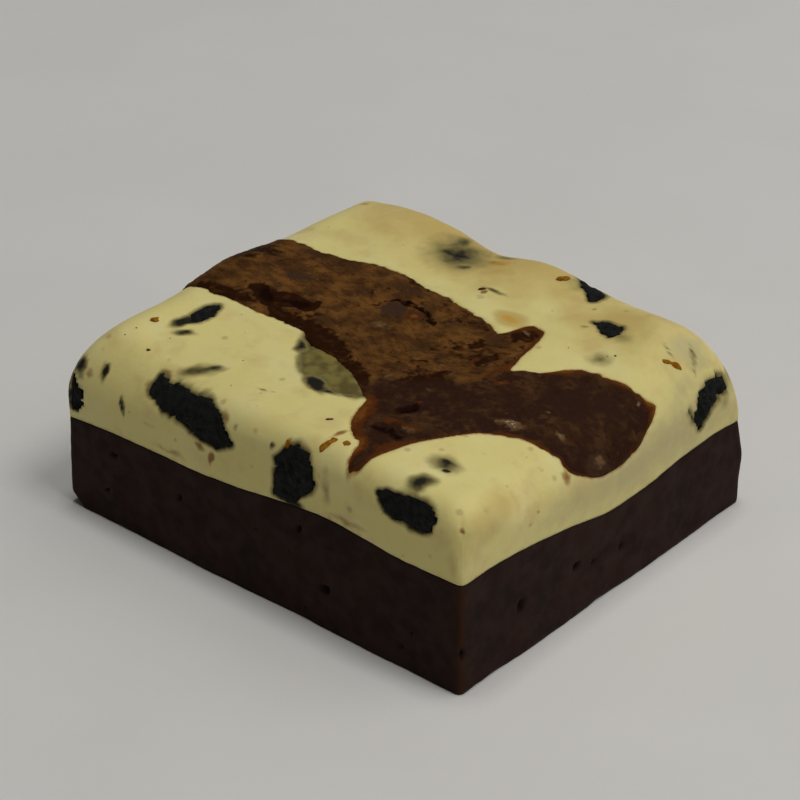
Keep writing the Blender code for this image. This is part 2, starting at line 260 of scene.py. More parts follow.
@dataclass(frozen=True)
class SquareShape:
    """The outside of the cut square and the border between its layers, as in the solids."""

    half_x: float = 31.0
    half_y: float = 26.65
    corner_radius: float = 0.9
    lean_x: float = 0.055
    lean_y: float = 0.06
    wave: float = 0.2
    wave_length: float = 13.0
    wave_reach: float = 4.0
    skin_step: float = 0.25
    level_reach: float = 1.5
    far_corner: Stations = (
        (0.0, 0.1), (3.0, 0.12), (6.6, 0.3), (11.0, -0.1), (15.0, -0.3), (19.0, -0.2), (24.0, 0.0),
    )
    far_corner_reach: float = 2.4
    near_corner: Stations = ((0.0, 0.9), (14.8, 0.9), (18.0, 2.0), (24.0, 3.4))
    limit_x: float = 31.22
    limit_y: float = 26.69
    cake_front: tuple[float, ...] = (12.5, 13.1, 13.3, 13.3, 13.8, 14.7, 15.3, 15.0, 14.6, 14.8)
    cake_right: tuple[float, ...] = (14.8, 14.8, 14.2, 13.0, 11.7, 11.7, 12.2, 12.7, 12.1)
    cake_back: tuple[float, ...] = (12.9, 13.4, 13.2, 12.4, 12.7, 13.4, 13.3, 12.1)
    cake_left: tuple[float, ...] = (12.5, 13.2, 13.0, 12.5, 12.9, 13.4, 12.9)
    round_left: float = 5.7
    round_right: float = 5.85
    round_front: float = 3.2
    round_front_left: float = 5.0
    round_front_reach: float = 22.0
    round_back: float = 3.8
    round_corner_front: float = 3.2
    round_corner_front_reach: float = 20.0
    round_corner_left: float = 7.2
    round_corner_right: float = 11.2
    round_corner_reach: float = 9.0
    round_blend: float = 2.4
    cream_level: float = 24.05
    cream_least: float = 1.2
    knife_marks: tuple[Haze, ...] = (Haze(11, 5.0, 0.07, 3), Haze(12, 1.1, 0.035))
    swells: tuple[Swell, ...] = (
        Swell(-28.0, -1.0, 8.0, 5.0, 1.3),
        Swell(29.0, 2.0, 6.0, 9.0, -2.05),
        Swell(29.0, -15.0, 6.0, 5.0, -1.75),
        Swell(-18.0, -27.0, 9.0, 5.0, -2.0),
        Swell(-29.0, -22.0, 5.0, 5.0, 1.1),
        Swell(14.0, -12.0, 9.0, 8.0, 0.25),
        Swell(-19.0, 25.0, 7.0, 7.0, 0.9),
        Swell(-30.0, 26.0, 5.0, 6.0, -0.85),
        Swell(-6.0, 25.0, 3.3, 6.0, -1.0),
        Swell(2.5, 25.0, 4.0, 6.0, 0.65),
        Swell(14.5, 24.0, 3.5, 6.0, -0.3),
        Swell(29.0, 23.0, 7.0, 7.0, 2.3),
    )

    def side_height(self, heights: tuple[float, ...], part: Array) -> Array:
        """Return the cake's height along one side, at a share of its length."""
        last = len(heights) - 1
        return through(tuple((step / last, high) for step, high in enumerate(heights)), part)

    def cake_top(self, x: Array, y: Array) -> Array:
        """Return the top of the dark cake, blended between its four sides."""
        u = held((x + self.half_x) / (2.0 * self.half_x))
        v = held((y + self.half_y) / (2.0 * self.half_y))
        across = (1.0 - v) * self.side_height(self.cake_front, u)
        across += v * self.side_height(self.cake_back, u)
        along = (1.0 - u) * self.side_height(self.cake_left, v)
        along += u * self.side_height(self.cake_right, v)
        low = (1.0 - u) * self.cake_front[0] + u * self.cake_front[-1]
        high = (1.0 - u) * self.cake_back[0] + u * self.cake_back[-1]
        return across + along - (1.0 - v) * low - v * high

    def fall(self, inset: Array, radius: Array) -> Array:
        """Return how far a rounded edge lies below its flat, at an inset from the side."""
        return radius * (1.0 - dome(inset / radius))

    def near(self, x: Array, y: Array, corner_x: float, corner_y: float) -> Array:
        """Return 1 at a corner, fading to 0 away from it."""
        away = ((x - corner_x) ** 2 + (y - corner_y) ** 2) / self.round_corner_reach**2
        return np.exp(-0.5 * away)

    def cream_top(self, x: Array, y: Array) -> Array:
        """Return the top of the cream, with its rounded edges."""
        flat = np.full(np.shape(x), self.cream_level)
        for swell in self.swells:
            away = ((x - swell.x) / swell.reach_x) ** 2 + ((y - swell.y) / swell.reach_y) ** 2
            flat = flat + swell.height * np.exp(-0.5 * away)
        at_left = self.near(x, y, -self.half_x, -self.half_y)
        at_right = self.near(x, y, self.half_x, self.half_y)
        left = self.round_left + (self.round_corner_left - self.round_left) * at_left
        share = ease((x + self.half_x) / self.round_front_reach)
        front = self.round_front_left + (self.round_front - self.round_front_left) * share
        front = front + (self.round_corner_left - front) * at_left
        share = ease((y + self.half_y) / self.round_corner_front_reach)
        right = self.round_corner_front + (self.round_right - self.round_corner_front) * share
        right = right + (self.round_corner_right - right) * at_right
        back = self.round_back + (self.round_corner_right - self.round_back) * at_right
        fall_x = self.fall(self.half_x + x, left) + self.fall(self.half_x - x, right)
        fall_y = self.fall(self.half_y + y, front) + self.fall(self.half_y - y, back)
        drop = (fall_x**self.round_blend + fall_y**self.round_blend) ** (1.0 / self.round_blend)
        return np.maximum(flat - drop, self.cake_top(x, y) + self.cream_least)

    def placed(self, points: Array) -> Array:
        """Return points in metres, with the rounded corners, wavy sides and lean of the block."""
        x, y, z = points[:, 0].copy(), points[:, 1].copy(), points[:, 2].copy()
        radius = np.where((x > 0.0) & (y < 0.0), through(self.near_corner, z), self.corner_radius)
        over_x = np.abs(x) - (self.half_x - radius)
        over_y = np.abs(y) - (self.half_y - radius)
        at = (over_x > 0.0) & (over_y > 0.0)
        share = np.maximum(over_x[at], over_y[at]) / np.hypot(over_x[at], over_y[at])
        x[at] = np.copysign(self.half_x - radius[at] + over_x[at] * share, x[at])
        y[at] = np.copysign(self.half_y - radius[at] + over_y[at] * share, y[at])
        edge_x = ease((np.abs(x) - self.half_x + self.wave_reach) / self.wave_reach)
        edge_y = ease((np.abs(y) - self.half_y + self.wave_reach) / self.wave_reach)
        spots = np.stack((x, y, z), axis=1) / self.wave_length
        swell = self.wave * np.array([noise.noise(Vector(spot)) for spot in spots])
        x += np.copysign(1.0, x) * swell * edge_x
        y += np.copysign(1.0, y) * swell * edge_y
        x += self.lean_x * z * (self.half_x - x) / (2.0 * self.half_x)
        y -= self.lean_y * z * (self.half_y + y) / (2.0 * self.half_y)
        away = ((x - self.half_x) ** 2 + (y - self.half_y) ** 2) / self.far_corner_reach**2
        swell = through(self.far_corner, z) * np.exp(-0.5 * away)
        x, y = np.minimum(x + swell, self.limit_x), np.minimum(y + swell, self.limit_y)
        return np.stack((x, y, z), axis=1) * METRES

    def knife(self, points: Array) -> Array:
        """Return how unevenly the knife left the cut sides, in millimetres, below 0 for a dip."""
        return sum(haze.at(points) - haze.strength for haze in self.knife_marks)

    def outward(self, points: Array) -> Array:
        """Return the level way out of the square, fading to nothing away from its sides."""
        away = np.abs(points[:, :2]) - np.array((self.half_x, self.half_y))
        share = ease(1.0 + away / self.level_reach)
        return np.column_stack((np.copysign(share, points[:, :2]), np.zeros(len(points))))

    def lines(self, half: float, radius: float, cells: int, round_cells: int) -> Array:
        """Return line positions from -half to half, close together over the rounded ends."""
        angles = np.linspace(0.0, 0.5 * math.pi, round_cells + 1)
        start = radius * (1.0 - np.cos(angles)) - half
        middle = np.linspace(radius - half, half - radius, cells + 1)[1:-1]
        return np.concatenate((start, middle, -start[::-1]))

    def along_top(self, distance: Array) -> tuple[Array, Array]:
        """Return X and the extra depth for a distance along the top that goes on over the ends."""
        radius = np.where(distance < 0.0, self.round_left, self.round_right)
        flat = self.half_x - radius
        past = np.maximum(np.abs(distance) - flat, 0.0)
        angle = np.minimum(past / radius, 0.5 * math.pi)
        down = np.maximum(past - radius * 0.5 * math.pi, 0.0)
        over = np.copysign(flat + radius * np.sin(angle), distance)
        return np.where(past > 0.0, over, distance), down

    def distance_of(self, x: Array, z: Array, top: Array) -> Array:
        """Return the distance along the top of a point of the skin, going on down the ends."""
        radius = np.where(x < 0.0, self.round_left, self.round_right)
        flat = self.half_x - radius
        past = np.clip(np.abs(x) - flat, 0.0, radius)
        arc = radius * np.arcsin(past / radius) + np.maximum(top - z, 0.0)
        return np.where(past > 0.0, np.copysign(flat + arc, x), x)

    def across_of(self, y: Array, z: Array, top: Array) -> Array:
        """Return Y for a point of the skin, going on down the near and far sides."""
        past = np.where(np.abs(y) > self.half_y - self.skin_step, np.maximum(top - z, 0.0), 0.0)
        return y + np.copysign(past, y)

    def skin(self, distance: Array, y: Array, lift: Array) -> Array:
        """Return points on the cream's skin in millimetres, raised along its outward normal."""

        def spot(along: Array, across: Array) -> Array:
            """Return the point of the bare skin."""
            x, down = self.along_top(along)
            return np.stack((x, across, self.cream_top(x, across) - down), axis=1)

        ahead = spot(distance + self.skin_step, y) - spot(distance - self.skin_step, y)
        low = np.maximum(y - self.skin_step, -self.half_y)
        high = np.minimum(y + self.skin_step, self.half_y)
        side = spot(distance, high) - spot(distance, low)
        side[:, 0] = 0.0
        normal = np.cross(ahead, side)
        normal /= np.linalg.norm(normal, axis=1, keepdims=True)
        return spot(distance, y) + normal * lift[:, None]


class Side(Enum):
    """The face of the square that a cookie piece shows in, as its axis and the way it faces."""

    LEFT = (0, -1.0)
    RIGHT = (0, 1.0)
    FRONT = (1, -1.0)
    BACK = (1, 1.0)
    TOP = (2, 1.0)

    def inward(self) -> Vector:
        """Return the way into the square."""
        axis, sign = self.value
        way = Vector((0.0, 0.0, 0.0))
        way[axis] = -sign
        return way

    def point(self, shape: SquareShape, along: float, up: float, out: float) -> Vector:
        """Return a point over this face in millimetres.

        Args:
            shape: The square.
            along: Place along the face.
            up: Height on a side, or Y on the top.
            out: How far the point lies outside the face.

        Returns:
            The point.
        """
        axis, sign = self.value
        reach = (shape.half_x, shape.half_y, shape.cream_level)[axis]
        spot = [along, up]
        spot.insert(axis, sign * (reach + out))
        return Vector(spot)


def read_points(mesh: Mesh) -> Array:
    """Return the vertices of a mesh, one row each."""
    values = np.empty(len(mesh.vertices) * 3, np.float32)
    mesh.vertices.foreach_get("co", values)
    return values.reshape(-1, 3).astype(float)


def read_normals(mesh: Mesh) -> Array:
    """Return the vertex normals of a mesh, one row each."""
    values = np.empty(len(mesh.vertices) * 3, np.float32)
    mesh.vertex_normals.foreach_get("vector", values)
    return values.reshape(-1, 3).astype(float)


def write_points(mesh: Mesh, points: Array) -> None:
    """Put the vertices of a mesh at new places."""
    mesh.vertices.foreach_set("co", points.astype(np.float32).ravel())
    mesh.update()


def push(mesh: Mesh, lift: Array, level: Array, out: Array) -> None:
    """Move each vertex along its normal.

    Args:
        mesh: The mesh.
        lift: How far each vertex moves, in millimetres.
        level: Which vertices lie on a level face and move only sideways.
        out: The level way out of the square at each vertex.
    """
    ways = read_normals(mesh)
    ways[level] = out[level]
    write_points(mesh, read_points(mesh) + ways * lift[:, None] * METRES)


def keep_field(mesh: Mesh, field: Field, values: Array) -> None:
    """Keep one value on each vertex, for the finish to read."""
    layer = mesh.attributes.new(field.value, "FLOAT", "POINT")
    layer.data.foreach_set("value", values.astype(np.float32))


def keep_map(mesh: Mesh, name: str, places: Array) -> None:
    """Keep a UV map in metres from places along and across some streaks in millimetres."""
    layer = mesh.uv_layers.new(name=name)
    corners = np.empty(len(mesh.loops), np.int32)
    mesh.loops.foreach_get("vertex_index", corners)
    layer.uv.foreach_set("vector", (places[corners] * METRES).astype(np.float32).ravel())


def search_tree(spots: Array) -> kdtree.KDTree:
    """Return a search tree over points, one row each."""
    tree = kdtree.KDTree(len(spots))
    for index, spot in enumerate(spots):
        tree.insert(spot, index)
    tree.balance()
    return tree


def tree_of(mesh: Mesh) -> BVHTree:
    """Return a search tree over the faces of a mesh."""
    corners = [vert.co for vert in mesh.vertices]
    return BVHTree.FromPolygons(corners, [tuple(face.vertices) for face in mesh.polygons])


def mesh_of(name: str, builder: BMesh) -> Mesh:
    """Return a smooth mesh from a filled bmesh, with its faces turned outwards."""
    bmesh.ops.recalc_face_normals(builder, faces=builder.faces[:])
    mesh = bpy.data.meshes.new(name)
    builder.to_mesh(mesh)
    builder.free()
    mesh.shade_smooth()
    return mesh


def unit_slab(cells_x: int, cells_y: int, rows: int) -> BMesh:
    """Return a closed slab from 0 to 1 on each axis, with cells on its faces.

    Args:
        cells_x: Cells along X.
        cells_y: Cells along Y.
        rows: Rows of cells up its sides.

    Returns:
        The slab.
    """
    builder = bmesh.new()
    bmesh.ops.create_grid(builder, x_segments=cells_x, y_segments=cells_y, size=0.5)
    bmesh.ops.translate(builder, verts=builder.verts[:], vec=(0.5, 0.5, 0.0))
    under = builder.faces[:]
    made = bmesh.ops.extrude_face_region(builder, geom=under, use_keep_orig=True)
    raised = [part for part in made["geom"] if isinstance(part, bmesh.types.BMVert)]
    bmesh.ops.translate(builder, verts=raised, vec=(0.0, 0.0, 1.0))
    upright = [edge for edge in builder.edges if edge.verts[0].co.z != edge.verts[1].co.z]
    if rows > 1:
        bmesh.ops.subdivide_edges(builder, edges=upright, cuts=rows - 1, use_grid_fill=True)
    return builder


def lined_slab(name: str, lines_x: Array, lines_y: Array, rows: int) -> tuple[Mesh, Array]:
    """Return a closed slab whose cells lie between given lines.

    Args:
        name: Name of its mesh.
        lines_x: X of the lines across it.
        lines_y: Y of the lines along it.
        rows: Rows of cells up its sides.

    Returns:
        The mesh, and for each vertex its X, its Y and its height from 0 to 1.
    """
    mesh = mesh_of(name, unit_slab(len(lines_x) - 1, len(lines_y) - 1, rows))
    spots = read_points(mesh)
    for axis, lines in enumerate((lines_x, lines_y)):
        spots[:, axis] = lines[np.rint(spots[:, axis] * (len(lines) - 1)).astype(int)]
    return mesh, spots


def show(mesh: Mesh, finish: Material, nodes: tuple[str, ...]) -> Any:
    """Put a mesh in the scene as a piece of the brownie.

    Args:
        mesh: The finished mesh, in metres.
        finish: Its material.
        nodes: The solids that it stands for.

    Returns:
        The new object.
    """
    mesh.materials.append(finish)
    piece = bpy.data.objects.new(mesh.name, mesh)
    bpy.context.scene.collection.objects.link(piece)
    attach(piece, BODY)
    if nodes:
        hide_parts(*nodes)
    mesh.calc_loop_triangles()
    LOG.info("%s: %d triangles", piece.name, len(mesh.loop_triangles))
    return piece


def per_metre(size: float) -> float:
    """Return the texture scale for swells of a size in millimetres."""
    return 1.0 / (size * METRES)


class Wiring:
    """A node tree with short calls for the nodes that the finishes use."""

    def __init__(self, tree: NodeTree) -> None:
        """Start on a node tree."""
        self.tree = tree

    def feed(self, socket: Any, value: Any) -> None:
        """Link a socket to an output, or set its value."""
        if isinstance(value, bpy.types.NodeSocket):
            self.tree.links.new(value, socket)
        else:
            socket.default_value = (*value, 1.0) if socket.type == "RGBA" else value

    def add(self, kind: str, inputs: dict[Any, Any], **settings: Any) -> Any:
        """Return a new node.

        Args:
            kind: Its type name.
            inputs: Values or outputs for its sockets, by name or number.
            settings: Values for its own properties.

        Returns:
            The node.
        """
        made = self.tree.nodes.new(kind)
        for name, value in settings.items():
            setattr(made, name, value)
        for name, value in inputs.items():
            self.feed(made.inputs[name], value)
        return made

    def noise(self, vector: Any, scale: Any, detail: float, rough: float = 0.5) -> Any:
        """Return a noise of about 0 to 1."""
        inputs = {"Vector": vector, "Scale": scale, "Detail": detail, "Roughness": rough}
        return self.add("ShaderNodeTexNoise", inputs).outputs["Fac"]

    def step(self, value: Any, low: Any, high: Any, start: float = 0.0, end: float = 1.0) -> Any:
        """Return a smooth step from start to end as a value goes from low to high."""
        inputs = {"Value": value, "From Min": low, "From Max": high, "To Min": start, "To Max": end}
        made = self.add("ShaderNodeMapRange", inputs, interpolation_type="SMOOTHSTEP")
        return made.outputs["Result"]

    def math(self, operation: str, first: Any, second: Any) -> Any:
        """Return the result of a sum, product or the like."""
        return self.add("ShaderNodeMath", {0: first, 1: second}, operation=operation).outputs["Value"]

    def times(self, first: Any, second: Any) -> Any:
        """Return the product of two values."""
        return self.math("MULTIPLY", first, second)

    def mix(self, share: Any, first: Any, second: Any) -> Any:
        """Return a colour between two colours."""
        return self.add("ShaderNodeMix", {0: share, 6: first, 7: second}, data_type="RGBA").outputs[2]

    def blend(self, share: Any, first: Any, second: Any) -> Any:
        """Return a value between two values."""
        return self.add("ShaderNodeMix", {0: share, 2: first, 3: second}, data_type="FLOAT").outputs[0]


class SharedEffects:
    """Shader node groups that more than one finish uses."""

    def __init__(self) -> None:
        """Build the groups once."""
        self.mottle = self.build_mottle()
        self.ragged = self.build_ragged()
        self.grain = self.build_grain()
        self.pits = self.build_pits()

    def start(self, name: str, takes: dict[str, str], gives: str) -> tuple[Wiring, Any, Any]:
        """Start a new group that reads a vector.

        Args:
            name: Name of the group.
            takes: Names of its other inputs of each kind, with commas between them.
            gives: Name of its output.

        Returns:
            The group's wiring, the outputs of its input node, and the socket that it puts out.
        """
        tree = bpy.data.node_groups.new(name, "ShaderNodeTree")
        for kind, names in {"Vector": "Vector", **takes}.items():
            for socket in names.split(", "):
                tree.interface.new_socket(name=socket, in_out="INPUT", socket_type=SOCKET_KINDS[kind])
        kind = SOCKET_KINDS.get(gives, SOCKET_KINDS["Value"])
        tree.interface.new_socket(name=gives, in_out="OUTPUT", socket_type=kind)
        wiring = Wiring(tree)
        source = wiring.add("NodeGroupInput", {}).outputs
        return wiring, source, wiring.add("NodeGroupOutput", {}).inputs[gives]

    def build_mottle(self) -> NodeTree:
        """Return a group that mixes two colours in soft patches."""
        takes = {"Color": "First, Second", "Value": "Scale, Low, High"}
        wiring, source, result = self.start("mottle", takes, "Color")
        field = wiring.noise(source["Vector"], source["Scale"], 4.0)
        share = wiring.step(field, source["Low"], source["High"])
        wiring.feed(result, wiring.mix(share, source["First"], source["Second"]))
        return wiring.tree

    def build_ragged(self) -> NodeTree:
        """Return a group that turns a smooth field into a mask with a ragged edge."""
        takes = {"Value": "Field, Scale, Amount, Low, High"}
        wiring, source, result = self.start("ragged_mask", takes, "Mask")
        noisy = wiring.math("SUBTRACT", wiring.noise(source["Vector"], source["Scale"], 4.0), 0.5)
        moved = wiring.math("ADD", wiring.times(noisy, source["Amount"]), source["Field"])
        wiring.feed(result, wiring.step(moved, source["Low"], source["High"]))
        return wiring.tree

    def build_grain(self) -> NodeTree:
        """Return a group with a fine grain over a coarser one, for relief and gloss."""
        takes = {"Value": "Coarse Scale, Fine Scale, Fine Share"}
        wiring, source, result = self.start("grain", takes, "Height")
        coarse = wiring.noise(source["Vector"], source["Coarse Scale"], 3.0)
        fine = wiring.noise(source["Vector"], source["Fine Scale"], 3.0)
        wiring.feed(result, wiring.blend(source["Fine Share"], coarse, fine))
        return wiring.tree

    def build_pits(self) -> NodeTree:
        """Return a group of scattered round pits, 1 in the middle of a pit."""
        wiring, source, result = self.start("pits", {"Value": "Scale, Size, Share"}, "Mask")
        inputs = {"Vector": source["Vector"], "Scale": source["Scale"]}
        cells = wiring.add("ShaderNodeTexVoronoi", inputs).outputs
        bowl = wiring.step(wiring.math("DIVIDE", cells["Distance"], source["Size"]), 1.0, 0.3)
        red = wiring.add("ShaderNodeSeparateColor", {0: cells["Color"]}).outputs[0]
        wiring.feed(result, wiring.times(bowl, wiring.math("LESS_THAN", red, source["Share"])))
        return wiring.tree


@dataclass(frozen=True)
class Patches:
    """Soft patches of two colours.

    Attributes:
        first: The first colour.
        second: The second colour.
        size: Size of a patch in millimetres.
        low: The noise up to which the first colour is pure.
        high: The noise from which the second colour is pure.
    """

    first: Triple
    second: Triple
    size: float
    low: float
    high: float


@dataclass(frozen=True)
class Tint:
    """A colour over what a field marks, with a ragged edge.

    Attributes:
        field: The field that it follows.
        size: Size of its edge's tears in millimetres.
        amount: How far the tears move the field.
        low: The field's value where the colour starts.
        high: The field's value where the colour is full.
        color: The colour.
    """

    field: Field
    size: float
    amount: float
    low: float
    high: float
    color: Triple


@dataclass(frozen=True)
class Pits:
    """Scattered round pits or flecks.

    Attributes:
        size: Size of the cells that hold one each, in millimetres.
        wide: Their reach, as a share of a cell.
        share: Share of the cells that have one.
    """

    size: float
    wide: float
    share: float


@dataclass(frozen=True)
class Grain:
    """A fine grain over a coarser one.

    Attributes:
        coarse: Size of the coarse grain in millimetres.
        fine: Size of the fine grain.
        share: Share of the fine grain.
        depth: Depth of their relief in millimetres.
    """

    coarse: float
    fine: float
    share: float
    depth: float


class Coat(Wiring):
    """The wiring of one material, with the shared effects at hand."""

    def __init__(self, name: str, effects: SharedEffects) -> None:
        """Start a new material."""
        self.made = bpy.data.materials.new(name)
        self.made.use_nodes = True
        super().__init__(self.made.node_tree)
        self.effects = effects
        self.place = self.add("ShaderNodeTexCoord", {}).outputs["Object"]

    def dress(self, values: dict[str, Any]) -> Material:
        """Feed the shader's sockets by name and return the material."""
        for name, value in values.items():
            self.feed(self.tree.nodes["Principled BSDF"].inputs[name], value)
        return self.made

    def field(self, field: Field) -> Any:
        """Return a value kept on the vertices."""
        return self.add("ShaderNodeAttribute", {}, attribute_name=field.value).outputs["Fac"]

    def speckle(self, size: float, detail: float = 3.0, rough: float = 0.55, vector: Any = None) -> Any:
        """Return a noise whose swells have a size in millimetres."""
        return self.noise(vector or self.place, per_metre(size), detail, rough)

    def bump(self, height: Any, depth: float, normal: Any = None) -> Any:
        """Return a normal for a height whose full range is a depth in millimetres."""
        inputs = {"Height": height, "Distance": depth * METRES, "Strength": 1.0}
        if normal is not None:
            inputs["Normal"] = normal
        return self.add("ShaderNodeBump", inputs).outputs["Normal"]

    def use(self, group: NodeTree, vector: Any, **inputs: Any) -> Any:
        """Place a shared effect with its own values, and return what it puts out."""
        named = {name.replace("_", " ").title(): value for name, value in inputs.items()}
        return self.add("ShaderNodeGroup", {"Vector": vector, **named}, node_tree=group).outputs[0]

    def patched(self, patches: Patches) -> Any:
        """Return soft patches of two colours."""
        group, scale = self.effects.mottle, per_metre(patches.size)
        colors = {"first": patches.first, "second": patches.second}
        return self.use(group, self.place, scale=scale, low=patches.low, high=patches.high, **colors)

    def torn(self, field: Field, size: float, amount: float, low: float, high: float) -> Any:
        """Return a ragged mask of a field that rises over a span of its values."""
        span = {"low": low, "high": high}
        inputs = {"field": self.field(field), "scale": per_metre(size), "amount": amount}
        return self.use(self.effects.ragged, self.place, **inputs, **span)

    def tinted(self, color: Any, tints: tuple[Tint, ...]) -> Any:
        """Return a colour with tints laid over it in order."""
        for tint in tints:
            mask = self.torn(tint.field, tint.size, tint.amount, tint.low, tint.high)
            color = self.mix(mask, color, tint.color)
        return color

    def pitted(self, pits: Pits) -> Any:
        """Return a mask of scattered round pits."""
        scale = per_metre(pits.size)
        return self.use(self.effects.pits, self.place, scale=scale, size=pits.wide, share=pits.share)

    def grained(self, grain: Grain, vector: Any = None) -> Any:
        """Return the height of a grain, from 0 to 1."""
        scales = {"coarse_scale": per_metre(grain.coarse), "fine_scale": per_metre(grain.fine)}
        return self.use(self.effects.grain, vector or self.place, fine_share=grain.share, **scales)


@dataclass(frozen=True)
class CreamFinish:
    """Baked cream: satin, a little translucent, with stains of what lies under its skin."""

    effects: SharedEffects
    body: Patches = Patches((0.83, 0.715, 0.275), (0.85, 0.747, 0.322), 6.0, 0.42, 0.72)
    warm: Tint = Tint(Field.WARM, 4.5, 0.9, 0.0, 0.95, (0.66, 0.49, 0.16))
    amber: Tint = Tint(Field.WARM, 2.0, 0.5, 1.0, 1.9, (0.66, 0.37, 0.065))
    blush: Triple = (0.66, 0.46, 0.2)
    blush_share: float = 0.35
    fleck: Triple = (0.44, 0.25, 0.10)
    fleck_share: float = 0.45
    fleck_kinds: tuple[Pits, ...] = (Pits(2.9, 0.2, 0.24), Pits(1.5, 0.16, 0.1))
    # Darker, browner cream over the dry patches, and painted shade over the whole +X side.
    dry_and_side_shade: Tint = Tint(Field.DRY_AND_SIDE_SHADE, 1.6, 0.5, 0.1, 0.8, (0.65, 0.555, 0.265))
    bleed: Tint = Tint(Field.BLEED, 0.9, 0.5, 0.25, 1.0, (0.33, 0.16, 0.042))
    smoke: Patches = Patches((0.13, 0.1, 0.03), (0.235, 0.19, 0.052), 1.7, 0.36, 0.62)
    smoke_rim: Triple = (0.075, 0.06, 0.022)
    halo: Tint = Tint(Field.STAIN, 1.8, 0.25, 0.03, 0.45, (0.25, 0.205, 0.072))
    stain: Tint = Tint(Field.STAIN, 1.1, 0.35, 0.30, 0.62, (0.019, 0.0165, 0.0105))
    grain: Grain = Grain(1.6, 0.35, 0.3, 0.09)
    roughness: Pair = (0.42, 0.56)
    glow_share: float = 0.25
    glow_colors: Triple = (1.0, 0.7, 0.3)
    glow_reach: float = 0.0016
    gloss: float = 0.12

    def build(self) -> Material:
        """Return the material."""
        coat = Coat("baked_cream", self.effects)
        color = coat.tinted(coat.patched(self.body), (self.warm, self.amber))
        blush = coat.times(coat.step(coat.speckle(4.5, 5.0), 0.5, 0.75), self.blush_share)
        color = coat.mix(blush, color, self.blush)
        for kind in self.fleck_kinds:
            color = coat.mix(coat.times(coat.pitted(kind), self.fleck_share), color, self.fleck)
        color = coat.tinted(color, (self.dry_and_side_shade, self.bleed))
        inner = coat.torn(Field.SMOKE, 1.4, 0.3, 0.06, 0.3)
        smoke = coat.mix(inner, self.smoke_rim, coat.patched(self.smoke))
        color = coat.mix(coat.torn(Field.SMOKE, 1.2, 0.08, 0.0, 0.2), color, smoke)
        values = {
            "Base Color": coat.tinted(color, (self.halo, self.stain)),
            "Roughness": coat.step(coat.speckle(1.2), 0.3, 0.75, *self.roughness),
            "Normal": coat.bump(coat.grained(self.grain), self.grain.depth),
            "Subsurface Weight": self.glow_share,
            "Subsurface Radius": self.glow_colors,
            "Subsurface Scale": self.glow_reach,
            "Specular IOR Level": self.gloss,
        }
        return coat.dress(values)


@dataclass(frozen=True)
class CakeFinish:
    """Dense dark cake: satin cut side, pits in painted shade, painted highlight on upright edges."""

    effects: SharedEffects
    body: Patches = Patches((0.0315, 0.0142, 0.0102), (0.0225, 0.0112, 0.0085), 4.0, 0.4, 0.7)
    # Painted highlight along the upright edges, where they catch the light, and a lighter band at the foot.
    edge_highlight_and_foot_band: Tint = Tint(Field.EDGE_HIGHLIGHT_AND_FOOT_BAND, 1.2, 0.5, 0.1, 1.1, (0.05, 0.02, 0.009))
    pits: Pits = Pits(2.6, 0.11, 0.3)
    # Painted shade: the pits are coloured near black for the shade inside them.
    pit_shade: Triple = (0.004, 0.002, 0.0015)
    pit_depth: float = 0.15
    grain: Grain = Grain(1.4, 0.3, 0.35, 0.08)
    roughness: Pair = (0.62, 0.82)
    gloss: float = 0.08

    def build(self) -> Material:
        """Return the material."""
        coat = Coat("dark_cake", self.effects)
        pits = coat.math("MAXIMUM", coat.pitted(self.pits), coat.field(Field.PIT))
        normal = coat.bump(coat.grained(self.grain), self.grain.depth)
        values = {
            "Base Color": coat.mix(pits, coat.tinted(coat.patched(self.body), (self.edge_highlight_and_foot_band,)), self.pit_shade),
            "Roughness": coat.step(coat.speckle(2.0), 0.3, 0.7, *self.roughness),
            "Normal": coat.bump(coat.math("SUBTRACT", 1.0, pits), self.pit_depth, normal),
            "Specular IOR Level": self.gloss,
        }
        return coat.dress(values)


@dataclass(frozen=True)
class Streak:
    """A mask of marks drawn out along the fudge's streaks.

    Attributes:
        size: Their width in millimetres.
        rough: How rough their noise is.
        low: The noise where they start.
        high: The noise where they are full.
    """

    size: float
    rough: float
    low: float
    high: float


